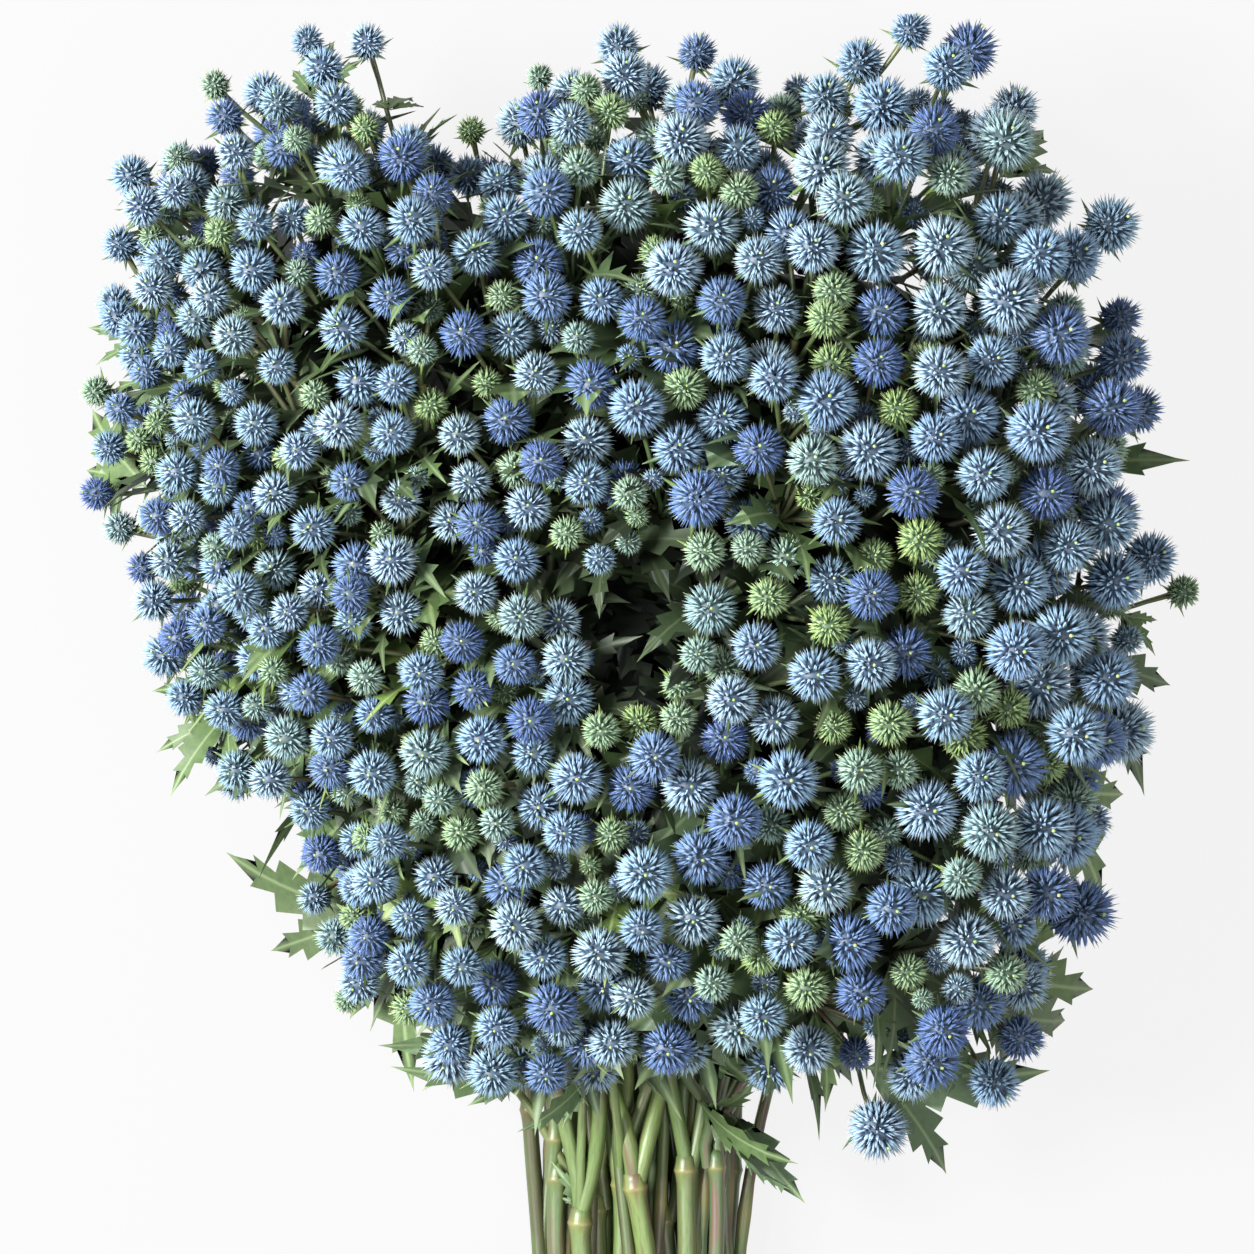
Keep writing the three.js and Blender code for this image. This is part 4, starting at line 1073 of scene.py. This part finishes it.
def blade_template(edge):
    """A blade's corners as (share, across, face), its triangles, and which corners are on its edge."""
    rows = len(edge)
    rib = np.maximum.accumulate(np.clip(edge[:, 0] - RIB_BACK * edge[:, 1], 0, RIB_END))
    rib = rib + RIB_SPREAD * np.arange(rows) / (rows + 1)
    zero = np.zeros(rows)
    upper, lower = np.column_stack([rib, zero, zero + 1]), np.column_stack([rib, zero, zero - 1])
    left, right = np.column_stack([edge, zero]), np.column_stack([edge * (1, -1), zero])
    corners = np.vstack([upper, lower, left, right, [(1, 0, 0)]])
    tip = len(corners) - 1
    triangles = []
    for middle, side, flip in ((0, 2, False), (0, 3, True), (1, 2, True), (1, 3, False)):
        a, b = middle * rows, side * rows
        faces = [(a + rows - 1, tip, b + rows - 1)]
        for k in range(rows - 1):
            faces += [(a + k, a + k + 1, b + k + 1), (a + k, b + k + 1, b + k)]
        triangles += [face[::-1] if flip else face for face in faces]
    triangles += [(0, 2 * rows, rows), (0, rows, 3 * rows)]
    return corners, np.array(triangles), np.arange(len(corners)) >= 2 * rows


SMALL_BLADE = blade_template(blade_edge(SMALL_LOBES, lambda reach: CUT_WIDTH))
BROAD_BLADE = blade_template(blade_edge(BROAD_LOBES, lambda reach: BROAD_CUT_WIDTH * reach))
LONG_BLADE = blade_template(blade_edge(LONG_LOBES, lambda reach: BROAD_CUT_WIDTH * reach))
WHORL_BLADES = [BROAD_BLADE, BROAD_BLADE, SMALL_BLADE]


def add_blade(body, template, base, tip, normal, tone, rng, width=1.0, droop=0.0):
    """A blade that is folded along its rib, waves at its edge and arches from base to tip."""
    corners, triangles, rim = template
    share, across, face = corners.T
    length = np.linalg.norm(tip - base)
    along = (tip - base) / length
    side = unit(np.cross(normal, along))
    up = np.cross(along, side)
    half_width = width * LEAF_WIDTH * length * rng.uniform(*BLADE_VARIETY)
    fold, phase = rng.uniform(*BLADE_FOLD), rng.uniform(0, TURN)
    high, close = BLADE_WAVE
    wave = high * np.sin(close * share + phase + np.sign(across)) * np.abs(across)
    lift = LEAF_ARCH * length * 4 * share * (1 - share) - droop * length * share**2
    lift = lift + half_width * (fold * np.abs(across) + wave) + 0.5 * BLADE_THICKNESS * face
    placed = base + np.outer(share * length, along)
    placed = placed + np.outer(across * half_width, side) + np.outer(lift, up)
    placed[:, 2] = np.maximum(placed[:, 2], BLADE_THICKNESS * (1.5 + face))
    grain = np.column_stack([share * length, across * half_width, np.full(len(share), BLADE_GRAIN * phase)])
    body.add(placed, triangles, "blade", np.abs(across), tone, grain, rim)


def add_cut_leaf(body, base, tip, normal, tone, rng, droop=0.0):
    """A leaf that is cut into a long toothed lobe and a shorter one on each side of it."""
    add_blade(body, LONG_BLADE, base, tip, normal, tone, rng, LOBE_WIDTH, droop)
    along = tip - base
    aside = np.linalg.norm(along) * unit(np.cross(normal, along))
    root = base + LOBE_ROOT * along
    for hand in (-1, 1):
        turn = hand * rng.uniform(*LOBE_TURN)
        way = rng.uniform(*LOBE_LENGTH) * (math.cos(turn) * along + math.sin(turn) * aside)
        end = np.clip(root + way, *box_walls())
        add_blade(body, LONG_BLADE, root, end, normal, tone, rng, LOBE_WIDTH, droop)


def way_out(point):
    """How far out in the mass a point is: 0 in the middle and 1 on its surface."""
    x, y, z = point - MASS_CENTRE
    aside = math.hypot(x, y) / outline_radius(math.atan2(y, x))
    height = abs(z) / (MASS_TOP if z > 0 else MASS_BOTTOM)
    return (aside**MASS_POWER + height**MASS_POWER) ** (1 / MASS_POWER)


def tone_with_painted_shade(tip, level, tone):
    """A leaf's tone, with painted shade set by how far out its tip is, and deeper by the gap."""
    inner_level, outer_level = OUTER_LEVEL
    share = np.clip((way_out(tip) - inner_level) / (outer_level - inner_level), 0, 1)
    inner = WHORL_PAINTED_LIGHT[level] / OUTER_LIGHT
    # painted shade: darker deep in the mass, and darker still by the gap
    light = GAP_PAINTED_LIGHT * inner if in_gap(tip, GAP_SHADE) else mix(inner, 1, share)
    return tone * (1, 1, light)


def add_whorl(body, knot, axis, level, tone, rng):
    """The leaves round a fork. The outer ones and those by the gap are long and narrow."""
    count, length, inner_width = WHORLS[level]
    axes = basis(axis)
    start = rng.uniform(0, TURN)
    for k in range(count):
        turn = start + TURN * (k + rng.uniform(-WHORL_JITTER, WHORL_JITTER)) / count
        lean = rng.uniform(*WHORL_LEAN)
        outward = circle(turn, *axes)
        onward = unit(outward + lean * axis)
        tip = knot + onward * min(length * rng.uniform(*WHORL_LENGTH), room_within(knot, onward))
        # painted shade: the deeper its tip lies in the mass, the darker the leaf
        shade = np.clip(tone_with_painted_shade(tip, level, tone) + rng.normal(scale=TONE_JITTER, size=3), 0, 1)
        narrow = way_out(tip) > OUTER_LEVEL[1] or in_gap(tip, GAP_SHADE)
        template, width = (LONG_BLADE, LOBE_WIDTH) if narrow else (WHORL_BLADES[level], inner_width)
        add_blade(body, template, knot, tip, unit(axis - lean * outward), shade, rng, width, WHORL_DROOP)


# ---- Tones ----

def stalk_tone(height, rng):
    """The lower a stalk lies in the bundle, the more painted shade it gets."""
    dark = UNDER_PAINTED_SHADE * max(0, 1 - height / (LAYER_HEIGHT * BUNDLE_LAYERS))
    return np.array([max(0, rng.normal(*STALK_TINGE)), rng.uniform(0.0, 1.0), dark])


def limb_tone(tone, level):
    """The deeper a limb lies in the mass, the more painted shade it gets."""
    return tone * (1, LIMB_YELLOW, 0) + (0, 0, LIMB_PAINTED_SHADE[level])


def blade_tone(ranges, rng):
    lime, blue, light = (rng.uniform(*limits) for limits in ranges)
    return np.array([blue, lime, light])


def leaf_tone(rng):
    tone = blade_tone(FRESH_TONE if rng.random() < FRESH_LEAVES else LEAF_TONE, rng)
    return tone * (1, 1, OUTER_LIGHT)


# ---- Stems ----

def curve_through(points, places):
    """Points on a smooth curve through the given ones, at places measured along them."""
    steps = steps_along(points)
    knots = np.concatenate([[0], np.cumsum(steps)])
    slopes = np.gradient(points, knots, axis=0)
    index = np.clip(np.searchsorted(knots, places, side="right") - 1, 0, len(steps) - 1)
    span = steps[index][:, None]
    t = (places[:, None] - knots[index][:, None]) / span
    a, b = points[index], points[index + 1]
    return bezier(a, a + slopes[index] * span / 3, b - slopes[index + 1] * span / 3, b, t)


def limb_path(start, end, leave, arrive, steps):
    """A gentle curve from one fork to the next that leaves and arrives the ways given, and its shares."""
    reach = LIMB_BEND * np.linalg.norm(end - start)
    share = np.linspace(0, 1, steps + 1)
    return bezier(start, start + reach * leave, end - reach * arrive, end, share[:, None]), share


def way_at_end(path):
    return unit(path[-1] - path[-2])


def stalk_nodes(length, divides, rng):
    """Places of the nodes along a stalk, with one just below its end where it divides."""
    nodes = np.cumsum(rng.uniform(*NODE_SPACING, MOST_NODES)) - rng.uniform(0, NODE_SPACING[0])
    nodes = nodes[(nodes > NODE_FIRST) & (nodes < length - NODE_FIRST)]
    if divides:
        nodes = np.append(nodes[nodes < length - NODE_SPACING[0] / 2], length - FORK_RING)
    return nodes


def stalk_places(length, nodes):
    """Places of a stalk's rings: evenly along it, close together at its nodes, and at its end."""
    near = (nodes[:, None] + NODE_LENGTH * NODE_ROWS).ravel()
    even = np.arange(0, length, STALK_STEP)
    even = even[np.abs(even[:, None] - np.append(nodes, length)).min(1) > 2 * NODE_LENGTH]
    return np.unique(np.clip(np.concatenate([even, near, [length - NODE_LENGTH, length]]), 0, length))


def add_stalk(body, points, ends, tone, rng, cut, divides=False):
    """A stalk or leader with its nodes. Returns where it ends, the way it arrives, and its nodes."""
    length = steps_along(points).sum()
    nodes = stalk_nodes(length, divides, rng)
    places = stalk_places(length, nodes)
    path = curve_through(points, places)
    waves = rng.uniform(*STALK_WAVES, 2) * TURN * places[:, None] / length + rng.uniform(0, TURN, 2)
    path[:, 0] += STALK_WOBBLE * (np.sin(waves).sum(1) - np.sin(waves[-1]).sum() * places / length)
    off = places[:, None] - nodes
    swell, scar = bell(off, NODE_LENGTH).sum(1), bell(off, NODE_SCAR_LENGTH).sum(1)
    radii = mix(*ends, places / length) * (1 + NODE_SWELL * swell + NODE_SCAR * scar)
    if divides:
        radii[-1] *= FORK_TAPER
    if not cut:
        radii *= 1 - LEADER_THIN * bell(places, LEADER_SUNK)
    end, onward = path[-1], way_at_end(path)
    dome = STALK_DOME * radii[-1]
    path = np.vstack([path, end + dome[:, :1] * onward])
    joint = np.append(np.clip(scar + NODE_YELLOW * swell, 0, 1), DOME_YELLOW)
    add_tube(body, path, np.append(radii, dome[:, 1]), STALK_SIDES, joint, tone, RIB_DEPTH, open_end=cut)
    return end, onward, [(path[np.abs(places - node).argmin()], node) for node in nodes]


def add_branch(body, start, end, onward, radii, tone):
    """A branch from a fork to a smaller one. Returns the way it arrives."""
    straight = unit(end - start)
    path, share = limb_path(start, end, unit(onward + straight), straight, BRANCH_STEPS)
    joint = bell(1 - share, BRANCH_SWELL_LENGTH) + bell(share, BRANCH_SWELL_LENGTH)
    add_tube(body, path, mix(*radii, share) * (1 + BRANCH_SWELL * joint), BRANCH_SIDES, joint, tone)
    return way_at_end(path)


def add_stalklet(body, head, centre, start, onward, tone, rng, ends=STALKLET_RADII):
    """A stalklet with its head and the bracts between them."""
    straight = unit(centre - start)
    axis = unit(straight + HEAD_TURN * head.facing + HEAD_LIFT * max(0, head.facing[2]) * UP)
    foot = centre - HEAD_FOOT * head.radius * axis
    path, share = limb_path(start, foot, unit(onward + 2 * straight), axis, STALKLET_STEPS)
    joint = share**STALKLET_SWELL_POWER
    add_tube(body, path, mix(*ends, share) * (1 + STALKLET_SWELL * joint), STALKLET_SIDES, joint, tone)
    foot = centre - BRACT_FOOT * head.radius * axis
    shade = blade_tone(YOUNG_TONE if head.young else BRACT_TONE, rng)
    add_bracts(body, foot, axis, head.radius, shade, rng)
    add_head(body, head, centre, axis, rng)


def add_shoot(body, tree, knot, onward, tone, rng, kind):
    """A shoot with a small head, as far onwards as there is room for it."""
    radii, reach, lean, ends, lowest = kind
    radius = rng.uniform(*radii)
    ways = unit(onward + rng.normal(scale=lean, size=(SHOOT_DRAWS, 3)))
    places = knot + ways * rng.uniform(*reach, (SHOOT_DRAWS, 1))
    room = np.linalg.norm(places[:, None] - tree.ball_points, axis=2) - tree.ball_radii
    free = (room.min(1) > radius + SHOOT_ROOM) & (places[:, 2] > 2 * radius) & (places[:, 1] > lowest)
    free &= np.array([way_out(place) > SHOOT_LEVEL for place in places])
    if not free.any():
        return
    best = max(np.flatnonzero(free), key=lambda k: (places[k] - knot) @ onward)
    point = places[best]
    tree.ball_points = np.vstack([tree.ball_points, point])
    tree.ball_radii = np.append(tree.ball_radii, radius)
    head = Head(point, radius, rng.random() < SHOOT_YOUNG, facing(point))
    add_stalklet(body, head, point, knot, onward, tone, rng, ends)


def dress_nodes(body, tree, points, nodes, tone, rng):
    """Leaves and thin shoots at the nodes nearest the mass."""
    length = steps_along(points).sum()
    for knot, place in nodes:
        if place < length - LEAFY_REACH:
            continue
        outward = unit(vec(rng.normal(), 0, abs(rng.normal())))
        onward = unit(outward + vec(0, rng.uniform(*SHOOT_SLOPE), 0))
        if rng.random() < LEAFY_SHARE:
            tip = knot + rng.uniform(*LEAFY_LENGTH) * onward
            normal = unit(UP + LEAFY_LEAN * outward)
            add_cut_leaf(body, knot, tip, normal, leaf_tone(rng), rng, LEAFY_DROOP)
        if rng.random() < SHOOT_SHARE:
            add_shoot(body, tree, knot, onward, tone, rng, NODE_SHOOT)


def add_limbs(body, tree, limb, knot, onward, tone, rng):
    """All that a fork carries."""
    tone = limb_tone(tone, limb.level)
    add_whorl(body, knot, onward, limb.level, leaf_tone(rng), rng)
    if limb.level == LAST_FORK:
        for _ in range(SIDE_SHOOTS):
            add_shoot(body, tree, knot, onward, tone, rng, SIDE_SHOOT)
    for branch in limb.limbs:
        end = tree.points[branch.at]
        if branch.head:
            add_stalklet(body, tree.heads[branch.at], end, knot, onward, tone, rng)
        else:
            arriving = add_branch(body, knot, end, onward, BRANCH_RADII[limb.level], tone)
            add_limbs(body, tree, branch, end, arriving, tone, rng)


def side_stalk_path(points, rng):
    """A thin stalk's path from a place on its stem to just below the mass, and its shares."""
    place = rng.uniform(*SIDE_STALK_FROM) * steps_along(points).sum()
    start, above = curve_through(points, vec(place, place + 1))
    out = (start[0] - BUNDLE_X) / BUNDLE_HALF_WIDTH
    outer = abs(out) > OUTER_FROM
    aside = vec(np.sign(out) if outer else rng.choice([-1, 1]), 0, 0)
    further, leave, arrive = OUTER_STALK if outer else MIDDLE_STALK
    spread = rng.uniform(*SIDE_STALK_SPREAD) * further
    end = start + spread * aside + rng.uniform(*SIDE_STALK_SINK) * UP
    end[1] = rng.uniform(*SIDE_STALK_END)
    end[2] = max(end[2], 2 * SIDE_STALK_RADII[0])
    ways = (unit(above - start + leave * aside), unit(vec(0, 1, 0) + arrive * aside))
    return limb_path(start, end, *ways, SIDE_STALK_STEPS)


def add_side_stalk(body, tree, points, tone, rng):
    """A thin stalk that leaves its stem below the mass and ends in a small fork with a head."""
    path, share = side_stalk_path(points, rng)
    rows = np.arange(SIDE_STALK_STEPS + 1)
    joint = (rows % SIDE_STALK_NODES == rng.integers(1, SIDE_STALK_NODES)).astype(float)
    dark = tone * (1, 1, 0) + rng.uniform(*SIDE_STALK_DARK) * UP
    radii = mix(*SIDE_STALK_RADII, share) * (1 + NODE_SWELL * joint)
    add_tube(body, path, radii, SIDE_STALK_SIDES, joint, dark)
    end, onward = path[-1], way_at_end(path)
    add_whorl(body, end, onward, LAST_FORK, leaf_tone(rng), rng)
    add_shoot(body, tree, end, onward, tone, rng, SIDE_SHOOT)


def add_leader(body, tree, places, knot, onward, leave, size, tone, rng):
    """A leader, from inside its stalk to its fork. Returns where it ends and the way it arrives."""
    aside = STALK_RADIUS_CUT * unit(leave - (leave @ onward) * onward)
    inside, clear = LEADER_ASIDE
    points = np.vstack([knot - LEADER_SUNK * onward + inside * aside,
                        knot + LEADER_PARTED * onward + clear * aside, places])
    ends = (size * LEADER_RADIUS, size * FORK_RADII[0] * LEADER_TAPER)
    end, arriving, nodes = add_stalk(body, points, ends, tone, rng, cut=False)
    dress_nodes(body, tree, points, nodes, tone, rng)
    return end, arriving


def add_outer_leaf(body, leaf, rng):
    normal = unit(facing(leaf.tip) + LEAF_FACE * UP)
    # painted shade, set by how deep its tip lies in the mass
    shade = tone_with_painted_shade(leaf.tip, LAST_FORK, leaf_tone(rng))
    add_cut_leaf(body, leaf.base, leaf.tip, normal, shade, rng)


def dress_stem(tree, stem, leaves):
    """One stem's body: its stalk and leaders, all that they carry, and its outer leaves."""
    rng = np.random.default_rng(SEED + stem)
    body = Body()
    path, leaders = tree.stems[stem]
    points = tree.points[path]
    tone = stalk_tone(points[0, 2], rng)
    size = rng.uniform(*STALK_SIZE)
    divides = len(leaders) > 1
    top = STALK_TOP_DIVIDING if divides else STALK_RADIUS_TOP
    ends = (size * STALK_RADIUS_CUT, size * top)
    knot, onward, nodes = add_stalk(body, points, ends, tone, rng, cut=True, divides=divides)
    dress_nodes(body, tree, points, nodes, tone, rng)
    for _ in range(SIDE_STALKS):
        add_side_stalk(body, tree, points, tone, rng)
    ways = [tree.points[leader[1:]] for leader, _ in leaders]
    for side, places, (_, fork) in zip((-1, 1), ways, leaders):
        end, arriving = knot, onward
        if divides:
            leave = side * (ways[1][0] - ways[0][0])
            end, arriving = add_leader(body, tree, places, knot, onward, leave, size, tone, rng)
        add_limbs(body, tree, fork, end, arriving, tone, rng)
    for leaf in leaves:
        if leaf.stem == stem:
            add_outer_leaf(body, leaf, rng)
    return body


# ---- Materials ----

def linear(red, green, blue):
    """A colour given as it looks, in parts of 255."""
    shares = [value / 255 for value in (red, green, blue)]
    return (*(share / 12.92 if share < 0.04 else ((share + 0.055) / 1.055) ** 2.4 for share in shares), 1)


class Shader:
    """A node tree, built by short calls."""

    def __init__(self, name, roughness):
        self.material = bpy.data.materials.new(name)
        self.material.use_nodes = True
        self.nodes = self.material.node_tree.nodes
        self.links = self.material.node_tree.links
        self.surface = self.nodes["Principled BSDF"].inputs
        self.surface["Roughness"].default_value = roughness

    def node(self, kind, inputs, **settings):
        made = self.nodes.new("ShaderNode" + kind)
        for name, value in settings.items():
            setattr(made, name, value)
        for key, value in inputs.items():
            if isinstance(value, bpy.types.NodeSocket):
                self.links.new(value, made.inputs[key])
            else:
                made.inputs[key].default_value = value
        return made.outputs

    def attribute(self, name, output="Vector"):
        return self.node("Attribute", {}, attribute_name=name)[output]

    def tone(self):
        return self.node("SeparateXYZ", {0: self.attribute("tone")})

    def math(self, operation, a, b):
        return self.node("Math", {0: a, 1: b}, operation=operation)[0]

    def ramp(self, value, low, high, to_low=0.0, to_high=1.0):
        inputs = {"Value": value, "From Min": low, "From Max": high, "To Min": to_low, "To Max": to_high}
        return self.node("MapRange", inputs, interpolation_type="SMOOTHSTEP")[0]

    def blend(self, share, *colours):
        """A mix of two colours, each an output or as it looks, in parts of 255."""
        a, b = (linear(*colour) if isinstance(colour, tuple) else colour for colour in colours)
        return self.node("Mix", {0: share, 6: a, 7: b}, data_type="RGBA")[2]

    def noise(self, place, scale, detail):
        return self.node("TexNoise", {"Vector": place, "Scale": scale, "Detail": detail})[0]

    def finish(self, colour, bump=None, bump_strength=0.3):
        self.links.new(colour, self.surface["Base Color"])
        if bump is not None:
            inputs = {"Height": bump, "Strength": bump_strength, "Distance": 0.0004}
            self.links.new(self.node("Bump", inputs)[0], self.surface["Normal"])
        return self.material


def floret_material():
    """Florets and spines: dark at the root, partly their own colour and partly painted shade deep in the
    head, blue to green halfway, and pale at the end.
    """
    s = Shader("floret", 0.5)
    along = s.attribute("along", "Fac")
    violet, green, pale = s.tone()
    speckle = s.noise(s.attribute("grain"), 0.9, 2.0)
    body = s.blend(violet, (130, 164, 194), (60, 84, 144))
    body = s.blend(s.ramp(pale, 0.5, 1.0, 0.0, 0.75), body, (150, 176, 192))
    body = s.blend(green, body, (124, 150, 80))
    # the root colour: partly the florets' own, partly painted shade deep between them
    root = s.blend(green, (46, 64, 86), (62, 84, 48))
    tip = s.blend(pale, (124, 152, 192), (200, 210, 217))
    tip = s.blend(green, tip, (204, 216, 146))
    colour = s.blend(s.ramp(along, 0.3, 0.6), root, body)
    place = s.math("ADD", along, s.ramp(speckle, 0.3, 0.7, -0.1, 0.1))
    return s.finish(s.blend(s.ramp(place, 0.64, 0.97), colour, tip))


def stalk_material():
    """Stalks: green to olive, with darker streaks, brown patches, yellowish joints and painted shade where
    they lie low in the bundle or deep in the mass.
    """
    s = Shader("stalk", 0.42)
    joint = s.attribute("along", "Fac")
    tinge, yellow, dark = s.tone()
    grain = s.attribute("grain")
    streaks = s.noise(grain, 1.6, 3.0)
    patches = s.ramp(s.noise(grain, 0.22, 2.0), 0.45, 0.62)
    colour = s.blend(yellow, (74, 96, 60), (110, 128, 70))
    colour = s.blend(s.ramp(streaks, 0.4, 0.75, 0.0, 0.5), colour, (58, 78, 42))
    colour = s.blend(s.math("MULTIPLY", tinge, patches), colour, (96, 76, 62))
    colour = s.blend(s.math("MULTIPLY", joint, 0.5), colour, (146, 128, 76))
    # dark: painted shade low in the bundle and deep in the mass, and a darkness drawn at random on the thin
    # side stalks
    return s.finish(s.blend(dark, colour, (22, 32, 20)), streaks, 0.15)


def blade_material():
    """Leaves and bracts: mottled green with a pale rib and edge, and painted shade, nearly black, deep in
    the mass.
    """
    s = Shader("blade", 0.58)
    along = s.attribute("along", "Fac")
    blue, lime, light = s.tone()
    mottle = s.noise(s.attribute("grain"), 0.35, 3.0)
    colour = s.blend(blue, (79, 102, 54), (80, 104, 78))
    colour = s.blend(lime, colour, (130, 160, 66))
    colour = s.blend(s.ramp(mottle, 0.3, 0.75, 0.0, 0.4), colour, (40, 60, 38))
    rib = s.blend(lime, (124, 144, 102), (172, 186, 110))
    colour = s.blend(s.ramp(along, 0.1, 0.0, 0.0, 0.85), colour, rib)
    colour = s.blend(s.ramp(along, 0.8, 1.0, 0.0, 0.6), colour, (168, 184, 154))
    # light: a random tone share, times the painted shade deep in the mass and by the gap
    return s.finish(s.blend(light, (9, 16, 10), colour), mottle)


def pith_material():
    """Cut ends: pale fibrous pith inside a green rind."""
    s = Shader("pith", 0.8)
    fibres = s.noise(s.attribute("grain"), 2.5, 3.0)
    rind = s.ramp(s.attribute("along", "Fac"), 0.55, 0.8)
    colour = s.blend(rind, (214, 218, 180), (138, 156, 92))
    return s.finish(s.blend(s.ramp(fibres, 0.4, 0.7, 0.0, 0.4), colour, (120, 122, 78)), fibres)


# ---- Pieces ----

def make_mesh(name, body):
    corners, triangles, slots, along, tone, grain, rim = body.gathered()
    corners = np.clip(corners, *box_walls())
    mesh = bpy.data.meshes.new(name)
    mesh.from_pydata((corners - ORIGIN) * MM, [], triangles)
    mesh.polygons.foreach_set("material_index", slots)
    mesh.shade_smooth()
    for attribute, kind, field_name, values in (
            ("along", "FLOAT", "value", along), ("tone", "FLOAT_VECTOR", "vector", tone),
            ("grain", "FLOAT_VECTOR", "vector", grain)):
        made = mesh.attributes.new(attribute, kind, "POINT")
        made.data.foreach_set(field_name, values.astype(np.float32).ravel())
    ends = np.empty(2 * len(mesh.edges), int)
    mesh.edges.foreach_get("vertices", ends)
    sharp = mesh.attributes.new("sharp_edge", "BOOLEAN", "EDGE")
    sharp.data.foreach_set("value", rim[ends.reshape(-1, 2)].all(1))
    return mesh


def add_object(name, data):
    made = bpy.data.objects.new(name, data)
    bpy.context.scene.collection.objects.link(made)
    return made


def make_bunch():
    tree = Tree(make_heads())
    untangle(tree)
    tree.ball_points = tree.points[:HEAD_COUNT]
    tree.ball_radii = tree.radius[:HEAD_COUNT]
    leaves = make_leaves(tree)
    materials = [floret_material(), stalk_material(), blade_material(), pith_material()]  # as in MATERIALS
    for stem in range(STEM_COUNT):
        node = f"stem_{stem + 1:02d}"
        mesh = make_mesh(f"dressed_{node}", dress_stem(tree, stem, leaves))
        for material in materials:
            mesh.materials.append(material)
        piece = add_object(f"dressed_{node}", mesh)
        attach(piece, "root")
        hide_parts(node)


# ---- Floor, light and camera ----

def make_floor():
    """A pale floor that glows, so that it is as even as the photo's backdrop and keeps a soft shadow."""
    half = FLOOR_SIZE / 2
    corners = [(x * half, y * half, FLOOR_LEVEL) for x, y in ((-1, -1), (1, -1), (1, 1), (-1, 1))]
    mesh = bpy.data.meshes.new("floor")
    mesh.from_pydata(corners, [], [(0, 1, 2, 3)])
    s = Shader("floor", 0.9)
    s.surface["Base Color"].default_value = (FLOOR_ALBEDO, FLOOR_ALBEDO, FLOOR_ALBEDO, 1)
    s.surface["Emission Color"].default_value = (1, 1, 1, 1)
    s.surface["Emission Strength"].default_value = FLOOR_GLOW
    mesh.materials.append(s.material)
    add_object("floor", mesh)


def add_light(name, place, size, power):
    light = bpy.data.lights.new(name, "AREA")
    light.shape = "DISK"
    light.size = size
    light.energy = power
    made = add_object(name, light)
    made.location = place
    made.rotation_euler = (Vector(LIGHT_AIM) - Vector(place)).to_track_quat("-Z", "Y").to_euler()


def light_scene():
    world = bpy.data.worlds.new("studio")
    world.use_nodes = True
    background = world.node_tree.nodes["Background"].inputs
    background["Color"].default_value = (1, 1, 1, 1)
    background["Strength"].default_value = WORLD_STRENGTH
    bpy.context.scene.world = world
    for light in LIGHTS:
        add_light(*light)


def make_camera():
    """A camera straight above the mass, which sees the photo's width at the picture's level."""
    data = bpy.data.cameras.new("camera")
    data.sensor_width = SENSOR_WIDTH
    data.lens = SENSOR_WIDTH * (CAMERA_HEIGHT - PICTURE_HEIGHT) / PICTURE_WIDTH
    data.clip_end = 50
    camera = add_object("camera", data)
    camera.location = (vec(0, 0, CAMERA_HEIGHT) - ORIGIN) * MM
    bpy.context.scene.camera = camera


make_bunch()
make_floor()
light_scene()
make_camera()
bpy.context.scene.view_settings.view_transform = "Standard"
